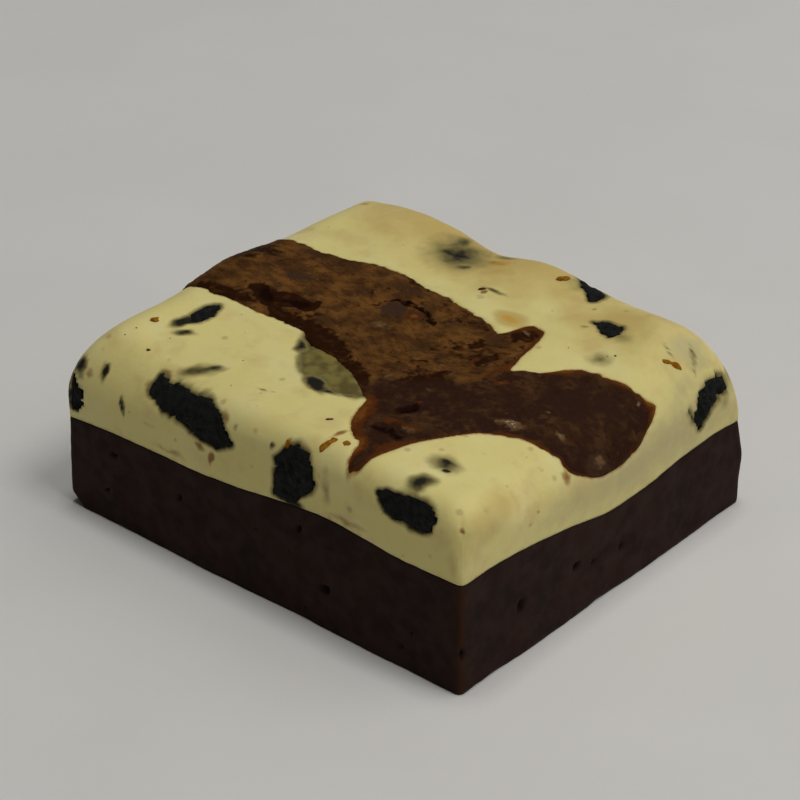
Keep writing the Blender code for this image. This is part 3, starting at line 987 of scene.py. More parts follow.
@dataclass(frozen=True)
class FudgeFinish:
    """Fudge under a thin dull film that has broken away in patches, drawn out in streaks, with painted
    highlights.
    """

    effects: SharedEffects
    film: Patches = Patches((0.074, 0.0315, 0.0098), (0.172, 0.0725, 0.0165), 2.8, 0.36, 0.66)
    lobe_film: Patches = Patches((0.038, 0.015, 0.0075), (0.08, 0.036, 0.0135), 2.8, 0.36, 0.66)
    shades: Streak = Streak(0.9, 0.6, 0.55, 0.38)
    shade_share: float = 0.42
    cracks: Streak = Streak(0.5, 0.68, 0.4, 0.33)
    crack: Triple = (0.018, 0.007, 0.0028)
    # Painted highlights: pale flecks where the crinkled film catches the light, in clusters.
    flecks: Streak = Streak(0.42, 0.65, 0.57, 0.7)
    fleck: Triple = (0.27, 0.16, 0.072)
    glint_fleck_shares: Pair = (0.7, 0.3)
    bare: Triple = (0.026, 0.0075, 0.0018)
    lobe_bare: Triple = (0.034, 0.0125, 0.0065)
    remnant_shares: Pair = (0.25, 0.6)
    cover_tears: tuple[float, ...] = (0.8, 0.9, 0.29, 0.56)
    tints: tuple[Tint, ...] = (
        Tint(Field.DUSK, 1.2, 0.5, 0.2, 0.6, (0.058, 0.028, 0.0145)),
        Tint(Field.RIM, 0.8, 0.7, 0.12, 0.5, (0.095, 0.026, 0.005)),
        Tint(Field.RIM, 0.8, 0.7, 0.55, 1.15, (0.2, 0.068, 0.01)),
        Tint(Field.FLAKE_AND_GLINT, 0.6, 1.3, 0.4, 0.95, (0.16, 0.088, 0.038)),
        # Painted shade: the holes are darkened for the shade inside them.
        Tint(Field.PIT, 0.7, 0.9, 0.15, 0.95, (0.012, 0.0025, 0.0006)),
        # Painted highlight: whitish glints over the strongest flake spots.
        Tint(Field.FLAKE_AND_GLINT, 0.25, 1.6, 1.05, 1.3, (0.42, 0.37, 0.30)),
    )
    grain: Grain = Grain(0.7, 0.22, 0.45, 0.2)
    film_height: float = 0.3
    roughness: Pair = (0.5, 0.8)
    gloss: float = 0.035

    def build(self) -> Material:
        """Return the material."""
        coat = Coat("fudge_film", self.effects)
        lobe = coat.field(Field.LOBE)
        film = coat.mix(lobe, coat.patched(self.film), coat.patched(self.lobe_film))
        film = coat.mix(coat.times(self.drawn(coat, lobe, self.shades), self.shade_share), film, self.bare)
        film = coat.mix(self.drawn(coat, lobe, self.cracks), film, self.crack)
        # Clusters of painted highlight flecks on the crinkled film.
        glint_cluster = coat.step(coat.speckle(3.2), 0.5, 0.64)
        fleck = coat.times(self.drawn(coat, lobe, self.flecks), glint_cluster)
        film = coat.mix(coat.times(fleck, coat.blend(lobe, *self.glint_fleck_shares)), film, self.fleck)
        remnant = coat.step(coat.speckle(1.1, 5.0), 0.5, 0.68)
        remnant = coat.times(remnant, coat.blend(lobe, *self.remnant_shares))
        bare = coat.mix(remnant, coat.mix(lobe, self.bare, self.lobe_bare), film)
        cover = coat.torn(Field.FILM, *self.cover_tears)
        grains = [coat.grained(self.grain, self.streaks(coat, name)) for name in STREAKS]
        height = coat.math("ADD", coat.blend(lobe, *grains), coat.times(cover, self.film_height))
        values = {
            "Base Color": coat.tinted(coat.mix(cover, bare, film), self.tints),
            "Roughness": coat.step(cover, 0.0, 1.0, *self.roughness),
            "Normal": coat.bump(height, self.grain.depth),
            "Specular IOR Level": self.gloss,
        }
        return coat.dress(values)

    def streaks(self, coat: Coat, name: str) -> Any:
        """Return the coordinates that follow the streaks of the band or of the lobe."""
        return coat.add("ShaderNodeUVMap", {}, uv_map=name).outputs["UV"]

    def drawn(self, coat: Coat, lobe: Any, streak: Streak) -> Any:
        """Return a mask of marks along the streaks, blended from the band to the lobe."""
        fields = [coat.speckle(streak.size, 4.0, streak.rough, self.streaks(coat, name)) for name in STREAKS]
        return coat.step(coat.blend(lobe, *fields), streak.low, streak.high)


@dataclass(frozen=True)
class CookieFinish:
    """Dark cookie, dull and crumbly, with a few paler crumbs."""

    effects: SharedEffects
    body: Patches = Patches((0.0095, 0.0095, 0.0085), (0.004, 0.004, 0.0038), 0.8, 0.4, 0.65)
    bits: Pits = Pits(0.6, 0.25, 0.12)
    bit_color: Triple = (0.05, 0.052, 0.05)
    grain: Grain = Grain(0.8, 0.2, 0.5, 0.3)
    roughness: Pair = (0.75, 0.95)
    gloss: float = 0.2

    def build(self) -> Material:
        """Return the material."""
        coat = Coat("dark_cookie", self.effects)
        height = coat.grained(self.grain)
        values = {
            "Base Color": coat.mix(coat.pitted(self.bits), coat.patched(self.body), self.bit_color),
            "Roughness": coat.step(height, 0.3, 0.7, *self.roughness),
            "Normal": coat.bump(height, self.grain.depth),
            "Specular IOR Level": self.gloss,
        }
        return coat.dress(values)


@dataclass(frozen=True)
class CrumbFinish:
    """Small crumbs of amber or reddish brown."""

    effects: SharedEffects
    name: str
    light: Triple
    dark: Triple
    grain: Grain = Grain(0.5, 0.15, 0.4, 0.08)
    roughness: Pair = (0.6, 0.85)
    gloss: float = 0.03

    def build(self) -> Material:
        """Return the material."""
        coat = Coat(self.name, self.effects)
        height = coat.grained(self.grain)
        values = {
            "Base Color": coat.patched(Patches(self.light, self.dark, 0.5, 0.35, 0.65)),
            "Roughness": coat.step(height, 0.3, 0.7, *self.roughness),
            "Normal": coat.bump(height, self.grain.depth),
            "Specular IOR Level": self.gloss,
        }
        return coat.dress(values)


@dataclass(frozen=True)
class FloorFinish:
    """A pale paper floor."""

    effects: SharedEffects
    body: Patches = Patches((0.80, 0.775, 0.735), (0.78, 0.755, 0.715), 30.0, 0.35, 0.65)
    roughness: float = 0.9
    gloss: float = 0.2

    def build(self) -> Material:
        """Return the material."""
        coat = Coat("pale_floor", self.effects)
        values = {
            "Base Color": coat.patched(self.body),
            "Roughness": self.roughness,
            "Normal": coat.bump(coat.speckle(1.1), 0.04),
            "Specular IOR Level": self.gloss,
        }
        return coat.dress(values)


@dataclass
class DarkCake:
    """The dense cake under the cream.

    Attributes:
        shape: The square that it fills.
        cells: Cells over its flat, along X and Y.
        edge: Width of the finer cells at its sides.
        edge_cells: Cells over that width.
        rows: Rows of cells up its sides.
        foot_inset: How far its foot lies in from its sides.
        foot_reach: Height over which the foot turns in.
        foot_wave: How far the bottom edge waves up off the floor.
        rim: Height under the cream over which its upper edge turns in.
        rim_inset: How far that edge turns in.
        edge_highlight_band: Width of the painted highlight along the upright edges.
        pits: Deeper pits that the photograph shows in its sides.
        chip: Where the left corner's foot is chipped.
        chip_depth: How far that chip is drawn in.
        foot_band: Strength and height of the lighter band at its foot.
        pit_gain: How steep the pits' walls are.
        pit_depth: Depth of the pits.
        pit_haze: How ragged their outlines are.
    """

    shape: SquareShape
    cells: tuple[int, int] = (116, 98)
    edge: float = 3.0
    edge_cells: int = 8
    rows: int = 32
    foot_inset: float = 0.18
    foot_reach: float = 0.6
    foot_wave: float = 0.22
    foot_haze: Haze = Haze(13, 4.0)
    foot_band: Pair = (0.4, 0.8)
    rim: float = 0.6
    rim_inset: float = 0.08
    edge_highlight_band: float = 1.5
    chip: Spot = Spot((-31.0, -26.7, -0.2), (3.0, 3.0, 2.2))
    chip_depth: float = 0.7
    pit_gain: float = 2.2
    pit_depth: float = 0.5
    pit_haze: Haze = Haze(5, 1.2, 0.12)
    pits: tuple[Spot, ...] = spots_at(
        (10.7, -26.8, 5.5, 0.85, 0.8, 0.75, 1), (6.8, -26.8, 12, 0.5, 0.6, 0.5, 1),
        (-23, -26.8, 10, 0.45, 0.5, 0.45, 1), (22, -26.8, 3, 0.5, 0.5, 0.45, 1),
        (-24, -26.8, 4.5, 0.45, 0.5, 0.45, 1), (-12, -26.8, 8.5, 0.35, 0.5, 0.35, 1),
        (31, -6, 7, 0.6, 0.6, 0.6, 1), (31, -2.8, 6, 0.5, 0.45, 0.5, 1), (31, 2.5, 5.7, 0.5, 0.5, 0.45, 1),
        (31, -16, 7, 0.5, 0.8, 1, 1), (31, -26.6, 5.6, 0.8, 0.8, 0.7, 0.8),
    )

    def build_mesh(self) -> Mesh:
        """Return the cake's mesh in metres, with its fields."""
        shape = self.shape
        lines_x = shape.lines(shape.half_x, self.edge, self.cells[0], self.edge_cells)
        lines_y = shape.lines(shape.half_y, self.edge, self.cells[1], self.edge_cells)
        mesh, spots = lined_slab("brownie_base_cake", lines_x, lines_y, self.rows)
        x, y, share = spots.T
        top = shape.cake_top(x, y)
        z = top * share
        foot = self.foot_inset * (1.0 - ease(z / self.foot_reach))
        rim = self.rim_inset * ease((z - top + self.rim) / self.rim)
        x *= 1.0 - (foot + rim) / shape.half_x
        y *= 1.0 - (foot + rim) / shape.half_y
        points = np.stack((x, y, z), axis=1)
        write_points(mesh, shape.placed(points))
        self.add_relief(mesh, points, (share == 0.0) | (share == 1.0))
        return mesh

    def add_relief(self, mesh: Mesh, points: Array, level: Array) -> None:
        """Add the pits, the knife's unevenness and the wavy, chipped foot, and keep the fields.

        Args:
            mesh: The cake's mesh.
            points: Its vertices in the square's own frame.
            level: Which of them lie on its bottom or top.
        """
        shape = self.shape
        pit = ease(self.pit_gain * strongest(self.pits, self.pit_haze.drift(points)))
        push(mesh, shape.knife(points) - self.pit_depth * pit, level, shape.outward(points))
        moved = read_points(mesh)
        moved[:, :2] += (self.chip_depth * METRES * ease(self.chip.field(points)))[:, None]
        wave = self.foot_wave * held(self.foot_haze.at(points))
        edge_x, edge_y = shape.half_x - np.abs(points[:, 0]), shape.half_y - np.abs(points[:, 1])
        low = ease(1.0 - np.minimum(edge_x, edge_y)) * ease(1.0 - points[:, 2] / self.foot_reach)
        moved[:, 2] = np.maximum(moved[:, 2], 0.0) + wave * low * METRES
        write_points(mesh, moved)
        # Painted highlight on the upright edges, where they catch the light, and a lighter band at the foot.
        upright = held(1.0 - np.hypot(edge_x, edge_y) / self.edge_highlight_band)
        foot = self.foot_band[0] * held(1.0 - points[:, 2] / self.foot_band[1])
        keep_field(mesh, Field.EDGE_HIGHLIGHT_AND_FOOT_BAND, np.maximum(upright, foot))
        # The cake's finish paints shade into these pits.
        keep_field(mesh, Field.PIT, pit)

    def build(self, finish: Material) -> None:
        """Build and show the cake."""
        show(self.build_mesh(), finish, ("brownie_base",))


@dataclass
class FudgeSwirl:
    """The fudge swirl, a thin uneven slab let into the cream's skin.

    Attributes:
        shape: The square whose skin it follows.
        south: Its near edge, as distance along the top and y.
        north: Its far edge, in the same way.
        spine: The middle of its main band, which its streaks follow.
        fold: X of the fold between the main band and the second lobe, by y.
        bare_spots: Where the dull film has broken away.
        film_spots: Where the film is whole.
        amber_spots: Where the fudge is thin enough to look amber.
        hole_spots: Holes and open cracks.
        dusk_spots: Where its skin is smooth and greyish.
        flake_and_glint_spots: Where the film is dry and flaked pale, and where the finish paints whitish
            glints.
        ridge_spots: Small paler ridges.
        rim_share: How strongly the rim shows, by distance along the top.
        crowding: The part of a half turn whose cosine spaces its cells, as its start and its length.
        edge_rows: Where in their haze the wobble of the near and the far edge is read.
        rim_level: Middle, least and greatest strength of its amber margin.
        rim_reach: Width of that margin, and how much wider it is in an amber spot.
        rim_weights: What amber spots and ridges add to the rim, and what holes take.
        film_level: The film in the band before the spots, and how much less the lobe has.
        film_weights: What film spots add to the film, and what bare spots and holes take.
        film_edge: The film's value where it starts to cover, and how much more covers fully.
        lip: Height of the film's lip, the film's value there, and its width in that value.
        crust_shares: Share of the fine crust on bare fudge, and how much more the film has.
    """

    shape: SquareShape
    south: Stations = (
        (-34, -4.5), (-31.6, -7.6), (-29.3, -8.1), (-24.2, -8.4), (-21, -8), (-15.8, -8.1),
        (-12.1, -7.8), (-9.5, -7.9), (-7.1, -9.4), (-3.1, -10), (-0.2, -10.9), (1.5, -11.6),
        (3.9, -13.1), (5.6, -14.4), (7.2, -15.3), (7.9, -17.5), (8.7, -19.6), (10, -21.3),
        (11.6, -22.4), (12.9, -23.2), (13.5, -25.9), (14.6, -26.2), (15.5, -25.8), (16, -23.8),
        (16.9, -19.8), (17.8, -17.3), (19.4, -14), (20.8, -11.6), (22.5, -9.8), (24.9, -8.5),
        (27.1, -7.8), (29.1, -6.9), (30.6, -6.8), (31.7, -5.7), (32.8, -4), (33.9, -2.1),
    )
    north: Stations = (
        (-34, 5), (-31, 8.3), (-27.1, 8.8), (-20.8, 8.7), (-17.2, 9.5), (-13.5, 10.8),
        (-9.5, 10.9), (-5.5, 10.4), (-2, 10.2), (1.2, 9.5), (4.1, 8.8), (6.8, 8.2), (8.6, 7.1),
        (9.4, 8.3), (10, 10.6), (10.8, 11.5), (11.8, 11.4), (12.8, 10.6), (13.6, 8), (14, 5.4),
        (14.6, 3), (15.1, 1.4), (16.2, 2.3), (18.1, 3.6), (19.2, 5.4), (20.6, 7.3), (22.1, 7.9),
        (25.9, 8.9), (27.5, 9.2), (29.1, 10), (30.2, 10.7), (31.2, 9.5), (32, 7.6), (32.9, 6),
        (33.9, 2.8),
    )
    spine: Stations = (
        (-34.0, 0.5), (-24.0, 0.8), (-12.0, 1.8), (-4.0, 0.4), (4.0, -1.4), (10.0, 0.6), (17.0, 6.0),
    )
    fold: Stations = (
        (-27.0, 2.0), (-14.0, 4.4), (-9.0, 7.4), (-4.3, 12.9), (-1.0, 14.3), (2.0, 15.0), (12.0, 16.0),
    )
    fold_haze: Haze = Haze(45, 3.4, 1.3, 4)
    fold_width: float = 3.0
    lobe_turn: float = 41.0
    lobe_middle: Pair = (21.0, -3.0)
    streak_stretch: float = 1.8
    cells_along: int = 310
    cells_across: int = 88
    crowding: Pair = (0.08, 0.84)
    depth: float = 1.6
    under: float = 0.15
    middle_row: float = 0.08
    sunk: float = 0.13
    crown: float = 0.23
    edge_width: float = 0.8
    edge_hazes: tuple[Haze, ...] = (Haze(31, 2.0, 0.2), Haze(32, 0.6, 0.17))
    edge_rows: Pair = (10.0, 40.0)
    end_length: float = 0.9
    end_least: float = 0.25
    rim_steps: int = 1400
    end_steps: int = 30
    bare_spots: tuple[Spot, ...] = on_skin(
        (-20, -4.1, 1.5, 1.4, 0, 1.6), (-18.1, -4.9, 2.3, 1.5, -25, 1.8), (-15.8, -4.2, 2.6, 1.7, 15, 1.8),
        (-13.3, -3, 2.3, 1.5, 22, 1.8), (-26, 3.6, 3.4, 2, 20, 0.6), (8.7, 3.2, 1.3, 2.3, 0, 0.9),
        (11.8, -0.1, 0.9, 1.8, 0, 0.9), (7, -6, 2.2, 2.4, 0, 0.5), (-23, -7.4, 6, 1.5, 8, 1.2),
        (-13, -6.6, 6, 1.2, -6, 0.9), (-6.6, -7.9, 6.4, 2.5, -22, 1.35), (1, -11.6, 5.8, 2.3, -28, 1.25),
        (-16, 10.4, 9, 1.2, 6, 0.35), (-5, 10.3, 8, 1.3, -8, 0.3), (7.5, 1.5, 4, 3.4, 0, 0.2),
        (4.5, 6.4, 5.5, 2.2, -15, 0.3), (9, -7.5, 4.2, 3.2, 60, 0.75), (11.6, 0.5, 2, 3.4, 0, 0.5),
        (10.8, 9.2, 2.4, 3.2, 0, 0.9), (9.8, -3.8, 2.2, 2, 0, 0.35), (5.6, -5.4, 2.8, 2.4, 0, 0.55),
        (23.4, 0.2, 3.8, 2.6, 30, 0.5),
    )
    film_spots: tuple[Spot, ...] = on_skin(
        (-22, -1, 8, 3.6, 25, 1), (-10.5, 0.8, 6.5, 3.6, 0, 1), (-3, -3.4, 8.5, 4, -32, 1.2),
        (3, -7.4, 5, 3, -45, 0.9), (-1.2, 3.5, 1.5, 1.4, 0, 2.4), (4.6, 3, 3.6, 2.4, 40, 0.6),
        (-1.8, -0.6, 3.4, 2.2, 0, 0.6), (-8.5, 8.2, 6, 1.6, 0, 0.5), (22.5, -7.6, 3.2, 1.1, 30, 1.8),
        (27.3, -4.6, 2.4, 1.2, 30, 1.3), (19, 3, 3, 1, 41, 0.9), (14.4, -16.8, 2.8, 0.9, 36, 1.6),
        (11, -17.6, 1.2, 1.8, 0, 0.8), (6, 5, 2.8, 1.7, -20, 0.7), (-4.4, -1.4, 3, 1.8, 15, 0.6),
        (26.7, -2.5, 2.6, 1.6, 40, 0.8), (16.6, -4.2, 2.4, 1.3, 35, 0.7),
    )
    amber_spots: tuple[Spot, ...] = on_skin(
        (8.9, -18, 2.5, 5.8, 22, 1.75), (-1.5, 3.4, 1.3, 1.2, 0, 1.3), (12.4, -23.4, 2.6, 3.2, 20, 1.3),
        (15.4, -21.6, 1.6, 4.4, -20, 0.8), (10.8, 10.2, 2.4, 2, 20, 0.9), (14.6, 0.6, 1.2, 3.2, -8, 1),
        (15.6, -2.2, 2.2, 0.9, 35, 1.3), (26, 9.4, 4.2, 1.6, 18, 1.1), (30.6, 9.8, 2.4, 2.4, 0, 0.55),
        (33, 5.5, 2.2, 5, 0, 0.45), (20, 5.8, 3.4, 1.4, 45, 0.7), (25.5, -8.8, 4.5, 1.2, 14, 0.9),
    )
    hole_spots: tuple[Spot, ...] = on_skin(
        (12.2, -13.6, 1.2, 2.2, -30, 1.45), (12.9, -18.9, 2.2, 1, 20, 1.3),
        (14.8, -19, 1.4, 0.9, -30, 1.2), (11, 6.8, 0.8, 0.7, 0, 0.5), (-6.9, 2.8, 1.7, 0.42, 75, 0.7),
        (-6, 5, 1.4, 0.45, 48, 0.95), (-4.3, 5.7, 1.8, 0.48, 5, 1), (-2.3, 5.5, 1.7, 0.46, -8, 1),
        (-0.6, 4.9, 1.6, 0.5, -32, 0.95), (0.9, 4, 1.3, 0.6, -34, 0.8), (-18.4, -4.6, 2.8, 1.3, -25, 1),
        (-14.4, -3.6, 3.4, 1.3, 20, 0.8), (-8.2, 1, 0.5, 0.35, 0, 0.6),
    )
    dusk_spots: tuple[Spot, ...] = on_skin(
        (-4.6, 3.3, 2.2, 2.3, 10, 1.6), (-18.4, 1.2, 2.8, 1.6, 28, 1), (-7, 8.6, 11, 2.3, -3, 0.5),
        (-21, 7.2, 7, 2, 2, 0.45), (24, 0, 5.5, 5, 30, 0.3), (32, -2, 2.3, 3.4, 0, 1),
        (16, -18.6, 3.6, 1, 5, 0.8),
    )
    # Dry pale flakes; where strongest, the fudge finish paints whitish glints.
    flake_and_glint_spots: tuple[Spot, ...] = on_skin(
        (22.2, -7.7, 3, 1.4, 24, 1.35), (27, -4.6, 1.5, 1.1, 0, 1.25), (31.8, -1.4, 1.6, 1.6, 0, 1.15),
        (23.4, -2.3, 0.8, 0.6, 0, 0.8), (28.8, 8.5, 0.5, 0.5, 0, 1.3), (27.7, 7.4, 0.9, 0.7, 0, 0.6),
        (-3.4, -0.9, 3.2, 1.6, 20, 0.95), (-5.6, 1.8, 0.9, 0.5, 0, 0.9), (-1.4, 3.4, 1.1, 0.9, 0, 0.85),
        (5.6, -9.8, 1, 1.1, 0, 1), (4.6, -3.4, 1.6, 1.1, 30, 0.8), (1.1, 0.6, 1.4, 0.6, 0, 0.7),
        (11.2, 9.3, 1.2, 0.6, -20, 1.4), (12.3, 5.4, 0.6, 0.8, 0, 0.8), (-12, -4.4, 1, 0.35, 20, 0.9),
        (-19.6, -2.7, 0.8, 0.4, 0, 0.9), (11.3, -8.8, 1.2, 1.4, 0, 0.7), (15.4, -17.3, 2.2, 0.8, -4, 1),
    )
    ridge_spots: tuple[Spot, ...] = on_skin(
        (12.8, -17, 2.2, 0.6, 34, 0.9), (14, -2, 3.2, 0.45, 66, 0.8), (16.3, -2, 1.4, 0.55, 60, 1),
        (11, -0.5, 2.2, 0.45, 104, 0.8), (12.2, -11.9, 0.8, 0.5, 40, 0.9), (14.9, -16.8, 2.6, 0.8, 8, 0.9),
        (-1.5, 3.5, 1.5, 1.4, 0, 0.95),
    )
    rim_share: Stations = ((-34.0, 0.3), (-6.0, 0.35), (3.0, 0.55), (8.0, 1.0), (33.4, 1.0))
    rim_haze: Haze = Haze(48, 1.2, 0.35)
    rim_uneven: Haze = Haze(50, 5.0, 0.5)
    rim_level: Triple = (0.62, 0.1, 1.1)
    rim_reach: Pair = (0.5, 1.5)
    rim_weights: Triple = (0.35, 0.75, 0.9)
    hole_haze: Haze = Haze(49, 1.0, 0.4)
    hole_gain: float = 1.6
    skin_haze: Haze = Haze(51, 0.9, 0.3)
    film_haze: Haze = Haze(41, 1.1, 0.45)
    patch_haze: Haze = Haze(42, 3.6, 0.2, 3)
    streak_haze: Haze = Haze(46, 1.1, 0.1)
    film_level: Pair = (0.62, 0.17)
    film_weights: Pair = (0.5, 0.8)
    film_edge: Pair = (0.38, 0.2)
    film_thick: float = 0.09
    lip: Triple = (0.05, 0.42, 0.07)
    lump_haze: Haze = Haze(43, 3.0, 0.06)
    crust_haze: Haze = Haze(44, 0.75, 0.06)
    crust_shares: Pair = (0.35, 0.65)
    hole_depth: float = 0.25
    ridge_height: float = 0.2
    flake_height: float = 0.12
    wrinkle_haze: Haze = Haze(47, 0.9)
    wrinkle: float = 0.05

    def edge_at(self, stations: Stations, distance: Array, row: float) -> Array:
        """Return an edge of the swirl with its ragged wobble."""
        spots = np.stack((distance, np.full(len(distance), row), np.zeros(len(distance))), axis=1)
        return through(stations, distance) + sum(haze.at(spots) for haze in self.edge_hazes)

    def outline(self, distance: Array) -> tuple[Array, Array]:
        """Return the near and far edge at distances along the top."""
        south = self.edge_at(self.south, distance, self.edge_rows[0])
        north = self.edge_at(self.north, distance, self.edge_rows[1])
        first, last = self.south[0][0], self.south[-1][0]
        share = dome(np.minimum(distance - first, last - distance) / self.end_length)
        middle = 0.5 * (south + north)
        half = 0.5 * (north - south) * (self.end_least + (1.0 - self.end_least) * share)
        return middle - half, middle + half

    def rim_points(self) -> Array:
        """Return points along the outline, as distance and y."""
        first, last = self.south[0][0], self.south[-1][0]
        distance = np.linspace(first, last, self.rim_steps)
        south, north = self.outline(distance)
        sides = [np.stack((distance, edge), axis=1) for edge in (south, north)]
        for at, low, high in ((first, south[0], north[0]), (last, south[-1], north[-1])):
            end = np.linspace(low, high, self.end_steps)
            sides.append(np.stack((np.full(self.end_steps, at), end), axis=1))
        return np.concatenate(sides)

    def inside(self, distance: Array, y: Array) -> Array:
        """Return how far points lie inside the outline, below 0 outside, in millimetres."""
        rim = self.rim_points()
        tree = search_tree(np.column_stack((rim, np.zeros(len(rim)))))
        away = np.array([tree.find((a, b, 0.0))[2] for a, b in zip(distance, y)])
        south, north = self.outline(distance)
        within = (y > south) & (y < north)
        within &= (distance > self.south[0][0]) & (distance < self.south[-1][0])
        return np.where(within, away, -away)

    def flows(self, flat: Array) -> tuple[Array, Array]:
        """Return places along and across the streaks of the band, and those of the lobe."""
        turn = math.radians(self.lobe_turn)
        east = flat[:, 0] - self.lobe_middle[0]
        up = flat[:, 1] - self.lobe_middle[1]
        along = east * math.cos(turn) + up * math.sin(turn)
        aside = up * math.cos(turn) - east * math.sin(turn)
        across = flat[:, 1] - through(self.spine, flat[:, 0])
        stretched = (flat[:, 0] / self.streak_stretch, along / self.streak_stretch)
        return np.column_stack((stretched[0], across)), np.column_stack((stretched[1], aside))

    def lobe(self, flat: Array) -> Array:
        """Return 0 in the main band and 1 in the second lobe, with the fold between."""
        past = flat[:, 0] - through(self.fold, flat[:, 1]) + self.fold_haze.at(flat)
        return ease(past / self.fold_width + 0.5)

    def drawn(self, haze: Haze, flat: Array) -> Array:
        """Return a field drawn out along the streaks, blended from the band to the lobe."""
        level = np.zeros(len(flat))
        band, lobe = (haze.at(np.column_stack((flow, level))) for flow in self.flows(flat))
        side = self.lobe(flat)
        return band * (1.0 - side) + lobe * side

    def build_mesh(self) -> Mesh:
        """Return the swirl's mesh in metres, with its fields."""
        mesh = mesh_of("fudge_swirl_film", unit_slab(self.cells_along, self.cells_across, 2))
        unit = read_points(mesh)
        first, last = self.south[0][0], self.south[-1][0]
        distance = first + (last - first) * unit[:, 0]
        south, north = self.outline(distance)
        start, span = self.crowding
        across = 0.5 - 0.5 * np.cos(math.pi * (start + span * unit[:, 1]))
        low = 0.5 - 0.5 * math.cos(math.pi * start)
        across = (across - low) / (1.0 - 2.0 * low)
        y = south + (north - south) * across
        within = np.maximum(self.inside(distance, y), 0.0)
        body = dome(within / self.edge_width)
        flat = np.stack((distance, y, np.full(len(y), SKIN_LEVEL)), axis=1)
        film, relief = self.film(flat)
        top = self.crown * body + relief * body
        under = np.where(unit[:, 2] == 0.0, -self.under - self.depth * body, -self.middle_row)
        lift = np.where(unit[:, 2] == 1.0, top, under) - self.sunk
        write_points(mesh, self.shape.placed(self.shape.skin(distance, y, lift)))
        keep_field(mesh, Field.FILM, film)
        keep_field(mesh, Field.LOBE, self.lobe(flat))
        keep_field(mesh, Field.RIM, self.rim_field(flat, within))
        # Holes; the fudge finish paints shade inside them.
        holes = strongest(self.hole_spots, self.hole_haze.drift(flat))
        keep_field(mesh, Field.PIT, ease(self.hole_gain * holes))
        ragged = self.skin_haze.drift(flat)
        keep_field(mesh, Field.DUSK, strongest(self.dusk_spots, ragged))
        keep_field(mesh, Field.FLAKE_AND_GLINT, strongest(self.flake_and_glint_spots, ragged))
        for name, flow in zip(STREAKS, self.flows(flat)):
            keep_map(mesh, name, flow)
        return mesh

    def film(self, flat: Array) -> tuple[Array, Array]:
        """Return where the dull film lies, and the relief that it and its cracks make.

        Args:
            flat: Points as distance, y and a level height.

        Returns:
            The film from 0 to 1, and the relief in millimetres.
        """
        ragged = self.film_haze.drift(flat)
        holes = strongest(self.hole_spots, ragged)
        more, less = self.film_weights
        film = self.film_level[0] - self.film_level[1] * self.lobe(flat)
        film += self.patch_haze.at(flat) + self.drawn(self.streak_haze, flat)
        film += more * strongest(self.film_spots, ragged) - less * strongest(self.bare_spots, ragged)
        film -= less * holes
        cover = ease((film - self.film_edge[0]) / self.film_edge[1])
        lump = self.lump_haze.at(flat) - self.hole_depth * holes
        lump += self.ridge_height * strongest(self.ridge_spots, ragged)
        lump += self.flake_height * strongest(self.flake_and_glint_spots, ragged)
        crust = self.crust_haze.at(flat) * (self.crust_shares[0] + self.crust_shares[1] * cover)
        wrinkle = self.wrinkle * (1.0 - 2.0 * np.abs(self.drawn(self.wrinkle_haze, flat)))
        lip = self.lip[0] * np.exp(-(((film - self.lip[1]) / self.lip[2]) ** 2))
        return held(film), self.film_thick * (cover - 1.0) + lump + crust + wrinkle + lip

    def rim_field(self, flat: Array, within: Array) -> Array:
        """Return where the fudge thins to amber: in a thin margin and in the amber spots."""
        ragged = self.rim_haze.drift(flat)
        amber = strongest(self.amber_spots, ragged)
        level, least, most = self.rim_level
        margin = np.clip(level + self.rim_uneven.at(flat), least, most)
        margin *= held(1.0 - within / (self.rim_reach[0] + self.rim_reach[1] * amber))
        margin *= through(self.rim_share, flat[:, 0])
        thin, ridge, hole = self.rim_weights
        extra = thin * amber + ridge * strongest(self.ridge_spots, ragged)
        return margin + extra - hole * strongest(self.hole_spots, ragged)

    def build(self, finish: Material) -> None:
        """Build and show the swirl."""
        show(self.build_mesh(), finish, ("fudge_swirl",))


